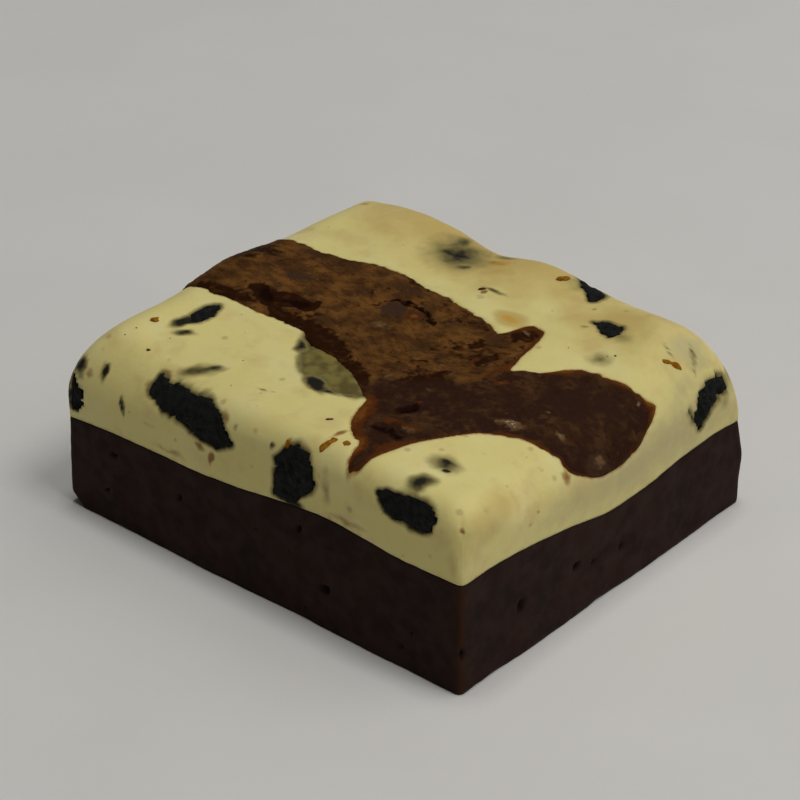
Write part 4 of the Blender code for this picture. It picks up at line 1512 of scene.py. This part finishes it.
@dataclass
class CreamLayer:
    """The pale cream over the cake, with stains of cookie under its skin.

    Attributes:
        shape: The square that it covers.
        swirl: The fudge swirl let into it.
        stains: Dark cookie under the skin, as grey-green blurs and black streaks.
        window: Corners of a grey-green patch where fudge lies just under the skin.
        window_fade: How far inside its corners that patch is at its full strength.
        warms: Where the bake is warmer in colour.
        bleeds: Where brown has bled into the cream.
        dry_patches_and_side_shade: Where the skin has dried rough and pale, and a wide spot of painted shade
            over the whole +X side.
        lap: How far it reaches down over the cake.
        side_calm: How much of the soft relief the cut sides lose.
        under_span: How far inside the swirl's edge it starts to sink, and over which width.
        halo: Strength and width of the dark halo round a cookie piece.
        margin_bleed: Strength and width of the brown margin round the swirl.
        foot_bleed: Strength and height of the brown margin over the cake.
    """

    shape: SquareShape
    swirl: FudgeSwirl
    mesh: Any = None
    points: Any = None
    row: Any = None
    low: Any = None
    top: Any = None
    cells: tuple[int, int] = (150, 136)
    round_cells: tuple[int, int] = (16, 12)
    rows: int = 28
    lap: float = 0.12
    side_depth: float = 3.0
    side_calm: float = 0.4
    side_inset: float = 0.1
    soft_hazes: tuple[Haze, ...] = (Haze(61, 8.0, 0.08), Haze(62, 1.6, 0.03))
    chalk_haze: Haze = Haze(64, 0.9, 0.2)
    swirl_dip: float = 0.1
    dip_reach: float = 0.6
    under_swirl: float = 1.2
    under_span: Pair = (0.1, 0.9)
    foot_reach: float = 4.0
    foot_proud: float = 0.01
    cookie_dip: float = 0.5
    cookie_reach: float = 0.3
    stain_height: float = 0.07
    stain_lumps: Haze = Haze(63, 1.4, 0.3)
    stain_haze: Haze = Haze(71, 1.3, 0.3)
    smoke_haze: Haze = Haze(72, 2.0, 0.16)
    warm_haze: Haze = Haze(73, 4.0, 0.9)
    dry_haze: Haze = Haze(75, 1.4, 0.6)
    halo: Pair = (0.52, 0.8)
    halo_haze: Haze = Haze(74, 3.0, 0.4, 1)
    margin_bleed: Pair = (0.8, 0.45)
    foot_bleed: Pair = (0.55, 0.6)
    stains: tuple[Spot, ...] = spots_at(
        (-21.8, -15.4, 24, 1.2, 2.8, 2, 1.1, 0, 0, -12), (-20.1, -17.3, 23.9, 2.1, 0.9, 2, 0.66, 0, 0, 32),
        (-13.4, -21.7, 23, 4.2, 1.8, 2, 0.6, 0, 0, 38), (-11.9, -20.6, 23.3, 2.2, 1, 2, 0.72, 0, 0, 38),
        (-7.1, -10.6, 24.1, 2.2, 1.1, 2, 0.85, 0, 0, -50), (-4.4, -14, 24.1, 3, 0.8, 2, 0.5, 0, 0, -48),
        (0.3, -16.3, 24.1, 3.4, 1.5, 2, 1.05, 0, 0, -26), (2.6, -16.6, 24.1, 2.6, 0.4, 2, 0.75, 0, 0, 5),
        (5, -15.9, 24.1, 1.6, 0.35, 2, 0.75, 0, 0, 12), (-8.1, 19.9, 23.8, 6.2, 6, 4, 0.62),
        (-8.9, 19.4, 23.8, 3.3, 2.5, 3, 0.64, 0, 0, 40), (-9.6, 22.7, 23.8, 2, 2.6, 3, 0.6),
        (-5.8, 17.8, 23.8, 2.2, 1.5, 3, 0.6, 0, 0, 30), (-6.6, 20.4, 23.6, 1.6, 1.3, 3, 0.62),
        (-3.2, 23.4, 23.5, 2.8, 1.3, 2, 0.45), (-3.7, 21.4, 23.6, 3.4, 1, 3, 0.3),
        (-14.5, 25.2, 22.5, 3.4, 1.8, 2, 0.3), (1.6, 14.9, 24.1, 3, 0.6, 2, 0.7),
        (26.1, 17.2, 23.6, 2.2, 0.4, 2, 0.65, 0, 0, -20), (28.8, 18.9, 22, 2.1, 0.4, 2.5, 0.5, 0, 0, -35),
        (28, 19.8, 22.6, 1.8, 0.4, 2, 0.6, 0, 0, -30), (8.6, 23.2, 23.6, 3.4, 3.2, 3, 0.4, 0, 0, 20),
        (13.9, 19.4, 24, 0.6, 0.6, 2, 0.5), (20.6, 15.6, 24.2, 2.9, 1.9, 2.5, 0.36, 0, 0, -10),
        (21.3, 10.5, 23.7, 2.2, 1.9, 2.5, 0.4, 0, 0, 30), (22.4, -19.2, 23.6, 3, 2.5, 2.5, 0.66, 0, 0, 20),
        (22.3, -18.7, 23.6, 1.5, 1.1, 2.5, 0.85, 0, 0, 20),
        (23.4, -20.3, 23.6, 0.6, 0.5, 2.5, 1.1, 0, 0, 20),
        (23, -24.1, 23.5, 2.1, 2.5, 2.5, 0.8, 0, 0, -20),
        (-21.4, -26.6, 17.3, 0.65, 1.2, 1.9, 0.9, 0, -8, 0),
        (-25.3, -25.3, 20.2, 0.75, 1.6, 1.7, 1.1, 25, -18, 0),
        (-29.3, -25, 19.2, 1.3, 2, 1.9, 1.2, 0, 0, 40), (-31, -26, 15.7, 1.3, 1.7, 2.7, 1.6),
        (2.9, -26.4, 21.6, 0.7, 0.9, 0.8, 0.9), (10.9, -26.6, 19, 1, 1.2, 3.6, 0.34),
        (6, -26.6, 14.8, 2.2, 1.6, 1.3, 1), (30.6, 22.6, 16.6, 2, 2.4, 2, 0.36, -30, 0, 0),
        (30.2, 25, 18.6, 2.2, 1.4, 2.6, 0.4, -20, 0, 0), (-30.5, 8, 18.5, 2, 2, 1.5, 0.8),
        (-3, 26.4, 19.5, 2.4, 2, 1.6, 0.7, 0, 20, 0), (-25, 26.4, 18, 1.5, 1.6, 2.2, 0.8, 0, -10, 0),
        (9, 26.4, 17.5, 1.4, 1.6, 1.2, 0.8, 0, 15, 0),
    )
    window: Stations = (
        (-10.2, -7.6), (-8.2, -10.6), (-5.8, -13.6), (-3.6, -15.9), (-0.2, -17.8), (3, -17.4),
        (6.6, -16.5), (10, -8), (0, -4), (-10.2, -7.6),
    )
    window_fade: float = 6.0
    window_foot: float = 20.0
    warms: tuple[Spot, ...] = spots_at(
        (-5, 27, 23, 33, 19, 12, 1.25), (18, 18, 24, 14, 11, 8, 0.85), (30.4, -20.5, 21, 2.6, 6, 3.4, 0.9),
        (30.8, -13, 17.6, 2, 5, 1.6, 0.5), (-13, 19, 24.4, 7, 3, 4, 0.45, 0, 0, 4),
        (7.6, 10.6, 24.1, 3.8, 2.6, 4, 2.1, 0, 0, -20), (-3.2, 21.4, 23.9, 4.6, 1.9, 3, 2.8),
        (-0.7, 18.8, 24.2, 3.6, 2.2, 4, 1.7, 0, 0, 10), (8.1, 21.2, 24.2, 2.6, 1.8, 4, 0.9),
        (-17.6, -22.6, 22.6, 3, 2, 3, 0.6, 0, 0, 20), (8.6, -25.5, 21, 3.4, 2.4, 4.5, 0.8),
        (29.8, -26.6, 16.8, 1, 1.5, 2.6, 0.9), (30.4, -5, 17.4, 2.4, 5.5, 2, 0.7),
        (22, 14.5, 24, 5, 2, 3, 0.5, 0, 0, 15), (-26.5, -22.5, 22, 3, 3, 4, 0.8),
        (-24, 14, 24.5, 6, 4, 4, 0.4, 0, 0, 30),
    )
    bleeds: tuple[Spot, ...] = spots_at(
        (-16.9, -23.9, 22.2, 1.6, 1.4, 1.5, 1.2), (-18.4, -25.2, 20.6, 1.1, 1.4, 1.6, 0.9),
        (-17.4, -26.6, 16.6, 2.2, 1.2, 1, 0.6, 0, 10, 0), (-5.2, -25.9, 22.1, 1.7, 1.3, 1, 1.1, 0, 35, 0),
        (-3, -26.4, 21.6, 1, 1, 0.8, 1, 0, 40, 0), (-8.8, -26.6, 16.9, 1.9, 1.1, 0.8, 1.2, 0, 10, 0),
        (-6.9, -26.6, 15.9, 0.8, 1.1, 1.4, 1.7), (-12.6, -26.6, 16, 0.5, 1, 0.6, 0.9),
        (5, -25.9, 22.9, 0.7, 0.8, 0.6, 1.2), (9.9, -26.4, 20.2, 1.2, 1.3, 2.4, 0.5),
        (-27.4, -26, 19.4, 1.1, 1.2, 1.1, 1), (0.9, 13.9, 24.1, 0.75, 0.75, 1.5, 1.8),
        (-26, 22.6, 23.6, 1.6, 1, 1.5, 1.2), (30.4, -7.2, 19.6, 1.4, 1.1, 1.7, 1.3),
        (-4, -20.9, 23.8, 1.5, 0.4, 1.5, 1, 0, 0, 8), (-2.5, -20.5, 23.8, 1.1, 0.5, 1.5, 0.8, 0, 0, -30),
        (-3.3, -23, 23.7, 0.8, 0.3, 1.5, 0.7, 0, 0, 30), (29.6, -16.1, 20.9, 1.4, 1.2, 1.4, 0.55),
        (30.2, -21.6, 22, 1.6, 1.6, 1.6, 0.5), (30.1, -26.6, 17.4, 0.9, 1, 2.2, 0.4),
        (28.8, -10.3, 21.1, 0.7, 0.7, 1, 0.8), (14, -26.6, 15.9, 6, 1.2, 1, 0.8),
        (-13.5, -26.6, 14.2, 5, 1.2, 0.9, 0.7), (30.9, -26.2, 21.2, 0.75, 0.75, 0.7, 1.4),
        (28.2, -26.6, 20.8, 0.7, 0.9, 0.6, 0.9), (31, -13.1, 18, 1, 0.6, 0.6, 1.2),
        (31, -14.9, 17.1, 1, 0.8, 0.8, 0.7), (15.6, 15.2, 24, 1.4, 0.6, 2, 1, 0, 0, 20),
        (9.9, -22.6, 24.1, 1.8, 0.7, 2, 1.3, 0, 0, 84), (9.9, -24.8, 23.8, 1.4, 1.6, 2, 0.8),
    )
    dry_patches_and_side_shade: tuple[Spot, ...] = spots_at(
        (27.4, 19.8, 22.8, 3.2, 4.4, 4, 1.2, 0, 0, -20), (29.6, 16, 20.2, 2.6, 5.5, 4, 0.7),
        # Painted shade: the first spot on the next line darkens the whole +X cut side.
        (31.5, 8, 16, 4.5, 34, 6.5, 0.9), (30.5, -21, 20.5, 3.5, 5.5, 4, 0.35),
        (1.7, 13, 24.1, 0.8, 0.7, 2, 1.6),
    )

    def lay_out(self) -> BVHTree:
        """Build the bare layer and return its skin for the cookie pieces."""
        shape = self.shape
        lines_x = shape.lines(shape.half_x, shape.round_right, self.cells[0], self.round_cells[0])
        lines_y = shape.lines(shape.half_y, shape.round_back, self.cells[1], self.round_cells[1])
        self.mesh, spots = lined_slab("cheesecake_layer_cream", lines_x, lines_y, self.rows)
        x, y, self.row = spots.T
        self.low = shape.cake_top(x, y) - self.lap
        self.top = shape.cream_top(x, y)
        z = self.low + (self.top - self.low) * self.row
        self.points = np.stack((x, y, z), axis=1)
        write_points(self.mesh, shape.placed(self.points))
        return tree_of(self.mesh)

    def dress(self, cookies: CookiePieces) -> None:
        """Add the relief and the fields around the swirl and the cookie pieces."""
        shape = self.shape
        x, y, z = self.points.T
        within = self.swirl.inside(shape.distance_of(x, z, self.top), shape.across_of(y, z, self.top))
        clear = cookies.clearance(read_points(self.mesh))
        self.keep_fields(within, clear)
        push(self.mesh, self.relief(within, clear), self.row == 0.0, shape.outward(self.points))

    def relief(self, within: Array, clear: Array) -> Array:
        """Return the lift of each vertex in millimetres, below 0 for a dip.

        Args:
            within: How far each lies inside the swirl's outline.
            clear: How far each lies from the nearest cookie piece.

        Returns:
            The lift.
        """
        points = self.points
        side = ease((self.top - points[:, 2]) / self.side_depth)
        soft = sum(haze.at(points) for haze in self.soft_hazes)
        soft = soft * (1.0 - self.side_calm * side) - self.side_inset * side
        foot = side * ease(1.0 - (points[:, 2] - self.low) / self.foot_reach)
        soft += foot * (self.shape.knife(points) + self.foot_proud - soft)
        # Only the first two spots, the dry patches, are roughened.
        rough = strongest(self.dry_patches_and_side_shade[:2], points) * self.chalk_haze.at(points)
        border = -self.swirl_dip * ease(within / self.dip_reach + 1.0)
        border -= self.under_swirl * ease((within - self.under_span[0]) / self.under_span[1])
        pocket = -self.cookie_dip * ease(0.5 - clear / self.cookie_reach)
        lump = self.stain_height * strongest(self.stains, self.stain_lumps.drift(points))
        return soft + rough + np.minimum(border, pocket) + lump * (1.0 - side)

    def smoke(self, points: Array) -> Array:
        """Return how deep points lie inside the grey-green patch, from 0 to 1."""
        field = np.full(len(points), self.window_fade)
        for (x, y), (next_x, next_y) in itertools.pairwise(self.window):
            length = math.hypot(next_x - x, next_y - y)
            inside = (next_x - x) * (points[:, 1] - y) - (next_y - y) * (points[:, 0] - x)
            field = np.minimum(field, inside / length)
        return held(field / self.window_fade) * ease(self.points[:, 2] - self.window_foot)

    def keep_fields(self, within: Array, clear: Array) -> None:
        """Keep the stains, tints, bleeding colour and dry patches on the vertices.

        Args:
            within: How far each vertex lies inside the swirl's outline.
            clear: How far each lies from the nearest cookie piece.
        """
        points, mesh = self.points, self.mesh
        ragged = self.stain_haze.drift(points)
        halo = self.halo[0] * held(1.0 - clear / (self.halo[1] + self.halo_haze.at(points)))
        keep_field(mesh, Field.STAIN, np.maximum(strongest(self.stains, ragged), halo))
        keep_field(mesh, Field.SMOKE, self.smoke(self.smoke_haze.drift(points)))
        keep_field(mesh, Field.WARM, strongest(self.warms, self.warm_haze.drift(points)))
        keep_field(mesh, Field.DRY_AND_SIDE_SHADE, strongest(self.dry_patches_and_side_shade, self.dry_haze.drift(points)))
        margin = self.margin_bleed[0] * held(1.0 + within / self.margin_bleed[1])
        foot = self.foot_bleed[0] * held(1.0 - (points[:, 2] - self.low) / self.foot_bleed[1])
        bleed = np.maximum(np.maximum(margin, foot), strongest(self.bleeds, ragged))
        keep_field(mesh, Field.BLEED, bleed)

    def build(self, finish: Material) -> None:
        """Show the cream."""
        show(self.mesh, finish, ("cheesecake_layer",))


@dataclass(frozen=True)
class CookieChunk:
    """A broken piece of dark cookie, flush with the face that it shows in.

    Attributes:
        node: The solid that it stands for.
        side: The face that it shows in.
        outline: Its outline there: X or Y along a side with Z, or X with Y on the top.
        seed: Seed of its broken surface.
        depth: How far it runs into the cream.
        proud: How far it stands out of the cream's skin.
        ragged: How rough its outline is.
    """

    node: str
    side: Side
    outline: Stations
    seed: int
    depth: float = 3.2
    proud: float = 0.03
    ragged: float = 1.0


@dataclass
class CookiePieces:
    """All the broken cookie pieces set in the cream.

    Attributes:
        meshes: The mesh of each piece, by its node.
        above: How far over the skin the search for it starts.
        taper: How much a piece narrows to its inner end.
        margin: How far round a piece the cream is measured.
        cap_reach: How far the skin may lie from a piece that shows through it.
        coarse: Wavelength and height of its coarse breaks.
        fine: Wavelength and height of its fine breaks.
        crumble: Wavelength and height of the crumbs on its shown face.
    """

    shape: SquareShape
    meshes: dict[str, Mesh] = field(default_factory=dict)
    above: float = 2.6
    voxel: float = 0.24
    taper: float = 0.14
    margin: float = 2.0
    cap_reach: float = 0.6
    coarse: Pair = (1.5, 0.24)
    fine: Pair = (0.55, 0.12)
    sunk: float = 0.05
    crumble: Pair = (0.9, 0.07)
    crumble_sunk: float = 0.03
    chunks: tuple[CookieChunk, ...] = (
        CookieChunk("cookie_piece_01", Side.FRONT, (
            (-18, 20.3), (-14.9, 19.2), (-11.6, 18.5), (-8.1, 17.6), (-5.9, 17.5), (-3.5, 19.1),
            (-4.9, 21), (-6.2, 21.9), (-8.6, 22.5), (-11.8, 22.2), (-14.6, 22.1), (-16, 21.7),
            (-17.6, 21.9),
        ), 3),
        CookieChunk("cookie_piece_02", Side.FRONT, (
            (3, 17.8), (3.1, 15.3), (4.6, 14.9), (6.4, 15.4), (7.9, 17), (9.2, 18.8), (8.9, 20.9),
            (8, 22.3), (6.4, 22.8), (4.6, 22), (3.3, 20.1),
        ), 5),
        CookieChunk("cookie_piece_03", Side.FRONT, (
            (18.3, 21.9), (19.1, 20.5), (20.9, 19.2), (23, 19.6), (24.8, 19), (26.3, 19.5),
            (27, 21.4), (26.4, 22.4), (24.9, 22.9), (22.2, 22.7), (19.6, 22.4),
        ), 8),
        CookieChunk("cookie_piece_04", Side.FRONT, (
            (-30.4, 13.3), (-29.2, 13.5), (-28.2, 14.9), (-28.5, 16.6), (-29.3, 17.2), (-30.3, 18.4),
        ), 13, ragged=1.3),
        CookieChunk("cookie_piece_05", Side.TOP, (
            (-21.3, -9.8), (-22.4, -10.9), (-22.5, -13.2), (-21.7, -15.6), (-20.7, -14.8), (-20.1, -12.3),
        ), 21, 1.4, 0.02),
        CookieChunk("cookie_piece_06", Side.TOP, (
            (6.4, 25.6), (8.8, 23.2), (10.5, 22.2), (12, 20.7), (13, 21.4), (12.6, 23.1),
            (10.4, 25.3), (8.6, 26.2),
        ), 34, 3, 0.03),
        CookieChunk("cookie_piece_07", Side.TOP, (
            (15.4, 16.7), (16.9, 17.9), (19.8, 17.5), (20.3, 16), (19.4, 14.8), (17.2, 15.5),
        ), 55, 1.2, 0.02),
        CookieChunk("cookie_piece_08", Side.RIGHT, (
            (17.7, 14), (18.7, 15.1), (19.6, 16.7), (21.4, 17), (23.4, 17.8), (23.6, 19.3),
            (22.4, 20.4), (20.9, 19.7), (19.6, 19.6), (17.9, 19), (16.9, 17.7), (15.2, 18),
            (15.7, 16.7),
        ), 89, ragged=1.7),
        CookieChunk("cookie_piece_09", Side.LEFT, (
            (12, 17), (14.6, 15.8), (18.4, 16.5), (19.2, 18.3), (16.4, 20.1), (13.2, 19.6),
        ), 144),
        CookieChunk("cookie_piece_10", Side.BACK, (
            (-18.9, 18.4), (-16, 17.2), (-12.2, 17.7), (-10.9, 19.6), (-13.4, 21.3), (-17.2, 20.7),
        ), 233),
        CookieChunk("cookie_piece_11", Side.BACK, (
            (20.3, 19), (21.6, 17), (24, 17.9), (24.9, 20.4), (23.9, 22.6), (21.2, 22.8),
        ), 377, ragged=1.3),
    )

    def fused(self, chunk: CookieChunk) -> Mesh:
        """Return a piece's outline carried into a flat block as one fine closed mesh, in millimetres."""
        builder = bmesh.new()
        outer = [chunk.side.point(self.shape, along, up, 0.0) for along, up in chunk.outline]
        face = builder.faces.new([builder.verts.new(spot) for spot in outer])
        middle = sum(outer, Vector()) / len(outer)
        inward = chunk.side.inward() * chunk.depth
        made = bmesh.ops.extrude_face_region(builder, geom=[face], use_keep_orig=True)
        for part in made["geom"]:
            if isinstance(part, bmesh.types.BMVert):
                part.co = part.co.lerp(middle, self.taper) + inward
        holder = bpy.data.objects.new("outline", mesh_of("outline", builder))
        bpy.context.scene.collection.objects.link(holder)
        modifier = holder.modifiers.new("fuse", "REMESH")
        modifier.mode = "VOXEL"
        modifier.voxel_size = self.voxel
        graph = bpy.context.evaluated_depsgraph_get()
        mesh = bpy.data.meshes.new_from_object(holder.evaluated_get(graph))
        bpy.data.objects.remove(holder)
        return mesh

    def build_mesh(self, chunk: CookieChunk, skin: BVHTree) -> Mesh:
        """Return a cookie piece in metres: broken, and laid along the skin of the cream."""
        mesh = self.fused(chunk)
        mesh.name = chunk.node + "_chunk"
        points = read_points(mesh)
        rough = Haze(chunk.seed, *self.coarse).at(points) + Haze(chunk.seed + 1, *self.fine).at(points)
        points += read_normals(mesh) * (chunk.ragged * (rough - self.sunk))[:, None]
        inward = chunk.side.inward()
        level = chunk.side.point(self.shape, 0.0, 0.0, 0.0).dot(inward)
        depth = points @ np.array(inward) - level
        crumble = Haze(chunk.seed + 2, *self.crumble, 3).at(points) - self.crumble_sunk
        sunk = np.maximum(depth, 0.0) - chunk.proud - chunk.ragged * crumble
        placed = self.shape.placed(points)
        start = points - np.outer(depth + self.above, np.array(inward))
        for index, spot in enumerate(self.shape.placed(start)):
            hit = skin.ray_cast(Vector(spot), inward, 5.0 * self.above * METRES)[0]
            if hit is None:
                hit = skin.find_nearest(Vector(placed[index]))[0]
            placed[index] = hit + inward * sunk[index] * METRES
        write_points(mesh, placed)
        mesh.shade_smooth()
        return mesh

    def shape_all(self, skin: BVHTree) -> None:
        """Build the mesh of every piece against the bare skin of the cream."""
        for chunk in self.chunks:
            self.meshes[chunk.node] = self.build_mesh(chunk, skin)

    def covers(self, chunk: CookieChunk, tree: BVHTree, point: Array) -> bool:
        """Return whether a piece shows over a point of the cream's skin."""
        inward = chunk.side.inward()
        start = Vector(point) - inward * self.above * METRES
        length = tree.ray_cast(start, inward, 2.0 * self.above * METRES)[3]
        return length is not None and abs(length / METRES - self.above) < self.cap_reach

    def clearance(self, points: Array) -> Array:
        """Return how far skin points in metres lie outside the nearest piece, in millimetres."""
        away = np.full(len(points), self.margin)
        for chunk in self.chunks:
            solid = read_points(self.meshes[chunk.node])
            faces = tree_of(self.meshes[chunk.node])
            low = solid.min(axis=0) - self.margin * METRES
            high = solid.max(axis=0) + self.margin * METRES
            close = np.nonzero(((points > low) & (points < high)).all(axis=1))[0]
            under = np.array([self.covers(chunk, faces, points[index]) for index in close])
            piece, bare = search_tree(solid), search_tree(points[close[~under]])
            for index, hidden in zip(close, under):
                length = (bare if hidden else piece).find(points[index])[2] / METRES
                away[index] = min(away[index], -length if hidden else length)
        return away

    def build(self, finish: Material) -> None:
        """Show every piece."""
        for node, mesh in self.meshes.items():
            show(mesh, finish, (node,))


@dataclass(frozen=True)
class Crumb:
    """A small crumb on the skin of the cream.

    Attributes:
        distance: Where it lies along the top, going on down the ends.
        y: Where it lies across.
        size: Half its length, width and height.
        turn: Its turn about the skin's normal in degrees.
    """

    distance: float
    y: float
    size: Triple
    turn: float = 0.0


@dataclass
class Crumbs:
    """Small crumbs of fudge and cookie on the cream, one piece for each kind.

    Attributes:
        amber: The fudge crumbs.
        dark: The cookie crumbs that the photograph shows.
        scattered: How many tiny ones are strewn besides.
        field: Half the length and width that they are strewn over.
        sizes: The least and the greatest half width of a strewn crumb.
        clear: How far the strewn ones stay from the swirl.
        haze: Wavelength and height of a crumb's lumps.
    """

    shape: SquareShape
    amber: tuple[Crumb, ...] = (
        Crumb(-24.6, -17.8, (0.55, 0.42, 0.24), 60),
        Crumb(6.6, 22.5, (0.8, 0.5, 0.26), 50),
        Crumb(27.3, 15.6, (0.6, 0.3, 0.16), 48),
        Crumb(28.3, 16.5, (0.6, 0.34, 0.16), 40),
        Crumb(9.8, -25, (0.9, 0.5, 0.2), 70),
        Crumb(10.1, -24.2, (0.5, 0.4, 0.18), 60),
        Crumb(11.8, -23.9, (0.42, 0.4, 0.16), 0),
        Crumb(5, -26.2, (0.3, 0.3, 0.2), 0),
    )
    dark: tuple[Crumb, ...] = (
        Crumb(22.4, 12.1, (0.15, 0.11, 0.08)),
        Crumb(6.9, -21.3, (0.42, 0.24, 0.12), 40),
        Crumb(-21.4, -22.1, (0.26, 0.18, 0.1), 20),
        Crumb(0.3, 14.3, (0.42, 0.22, 0.12), 50),
    )
    scattered: int = 8
    seed: int = 7
    field: Pair = (29.0, 25.0)
    sizes: Pair = (0.05, 0.09)
    clear: float = 1.0
    haze: Pair = (0.9, 0.45)
    lift: float = 0.02

    def lump(self, builder: BMesh, crumb: Crumb, seed: int) -> None:
        """Add one crumb to a bmesh, in metres on the skin of the cream."""
        made = bmesh.ops.create_icosphere(builder, subdivisions=3, radius=1.0)
        spots = np.array([tuple(vert.co) for vert in made["verts"]])
        spots *= 1.0 + Haze(seed, *self.haze).at(spots + seed)[:, None]
        spots *= np.array(crumb.size)
        angle = math.radians(crumb.turn)
        along = crumb.distance + spots[:, 0] * math.cos(angle) - spots[:, 1] * math.sin(angle)
        across = crumb.y + spots[:, 0] * math.sin(angle) + spots[:, 1] * math.cos(angle)
        across = np.clip(across, -self.shape.half_y, self.shape.half_y)
        placed = self.shape.placed(self.shape.skin(along, across, spots[:, 2] + self.lift))
        for vert, spot in zip(made["verts"], placed):
            vert.co = spot

    def fused(self, name: str, crumbs: list[Crumb]) -> Mesh:
        """Return one mesh of several crumbs."""
        builder = bmesh.new()
        for index, crumb in enumerate(crumbs):
            self.lump(builder, crumb, self.seed + index)
        return mesh_of(name, builder)

    def strewn(self, swirl: FudgeSwirl) -> list[Crumb]:
        """Return seeded tiny crumbs over the top, clear of the swirl."""
        picker = random.Random(self.seed)
        reach_x, reach_y = self.field
        crumbs = []
        while len(crumbs) < self.scattered:
            distance = picker.uniform(-reach_x, reach_x)
            y = picker.uniform(-reach_y, reach_y)
            size = picker.uniform(*self.sizes)
            shape = (size * picker.uniform(0.8, 1.8), size, 0.5 * size)
            south, north = swirl.outline(np.array([distance]))
            if south[0] - self.clear < y < north[0] + self.clear:
                continue
            crumbs.append(Crumb(distance, y, shape, picker.uniform(0.0, 180.0)))
        return crumbs

    def build(self, swirl: FudgeSwirl, amber: Material, dark: Material) -> None:
        """Build and show the crumbs."""
        show(self.fused("fudge_crumbs", list(self.amber)), amber, ())
        show(self.fused("cookie_crumbs", list(self.dark) + self.strewn(swirl)), dark, ())


@dataclass(frozen=True)
class Lamp:
    """A square studio lamp.

    Attributes:
        name: Its name.
        at: Where it hangs, in metres.
        size: Its side.
        power: Its power in watts.
    """

    name: str
    at: Triple
    size: float
    power: float


@dataclass
class Studio:
    """The pale floor, the soft light and the camera at the photograph's angle."""

    floor_side: float = 3.0
    lens: float = 135.0
    sensor: float = 36.0
    azimuth: float = 40.67
    elevation: float = 30.56
    away: float = 0.3634
    target: Triple = (-0.00397, 0.00379, 0.011)
    world: Triple = (0.94, 0.97, 1.0)
    world_strength: float = 0.05
    lamps: tuple[Lamp, ...] = (
        Lamp("zenith", (0.0, 0.0, 1.2), 0.35, 3.5),
        Lamp("zenith_right", (0.55, 0.0, 1.0), 0.35, 2.6),
        Lamp("back_right", (0.55, 0.35, 0.75), 0.7, 1.8),
        Lamp("back", (0.0, 0.9, 0.6), 0.7, 0.65),
    )

    def build_floor(self, finish: Material) -> None:
        """Lay the floor."""
        builder = bmesh.new()
        bmesh.ops.create_grid(builder, x_segments=1, y_segments=1, size=0.5 * self.floor_side)
        mesh = mesh_of("floor", builder)
        mesh.materials.append(finish)
        floor = bpy.data.objects.new("floor", mesh)
        bpy.context.scene.collection.objects.link(floor)

    def hang(self, lamp: Lamp) -> None:
        """Hang a square lamp that faces the brownie."""
        light = bpy.data.lights.new(lamp.name, "AREA")
        light.size = lamp.size
        light.energy = lamp.power
        holder = bpy.data.objects.new(lamp.name, light)
        holder.location = lamp.at
        holder.rotation_euler = (-Vector(lamp.at)).to_track_quat("-Z", "Y").to_euler()
        bpy.context.scene.collection.objects.link(holder)

    def build_camera(self) -> None:
        """Place the camera."""
        around, up = math.radians(self.azimuth), math.radians(self.elevation)
        way = Vector((math.sin(around) * math.cos(up), -math.cos(around) * math.cos(up), math.sin(up)))
        camera = bpy.data.cameras.new("camera")
        camera.lens = self.lens
        camera.sensor_width = self.sensor
        camera.clip_start = 0.01
        holder = bpy.data.objects.new("camera", camera)
        holder.location = Vector(self.target) + way * self.away
        holder.rotation_euler = (-way).to_track_quat("-Z", "Y").to_euler()
        bpy.context.scene.collection.objects.link(holder)
        bpy.context.scene.camera = holder

    def build(self, effects: SharedEffects) -> None:
        """Build the floor, lights, world and camera."""
        scene = bpy.context.scene
        scene.view_settings.view_transform = "Standard"
        self.build_floor(FloorFinish(effects).build())
        world = bpy.data.worlds.new("studio")
        world.use_nodes = True
        background = world.node_tree.nodes["Background"]
        background.inputs["Color"].default_value = (*self.world, 1.0)
        background.inputs["Strength"].default_value = self.world_strength
        scene.world = world
        for lamp in self.lamps:
            self.hang(lamp)
        self.build_camera()


def main() -> None:
    """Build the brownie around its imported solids."""
    logging.basicConfig(level=logging.INFO, format="%(name)s: %(message)s")
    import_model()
    effects = SharedEffects()
    shape = SquareShape()
    swirl = FudgeSwirl(shape)
    cream = CreamLayer(shape, swirl)
    cookies = CookiePieces(shape)
    cookies.shape_all(cream.lay_out())
    cream.dress(cookies)
    DarkCake(shape).build(CakeFinish(effects).build())
    cream.build(CreamFinish(effects).build())
    swirl.build(FudgeFinish(effects).build())
    cookies.build(CookieFinish(effects).build())
    amber = CrumbFinish(effects, "amber_crumb", (0.4, 0.17, 0.014), (0.24, 0.08, 0.004)).build()
    dark = CrumbFinish(effects, "dark_crumb", (0.09, 0.045, 0.02), (0.03, 0.018, 0.01)).build()
    Crumbs(shape).build(swirl, amber, dark)
    Studio().build(effects)


if __name__ == "__main__":
    main()
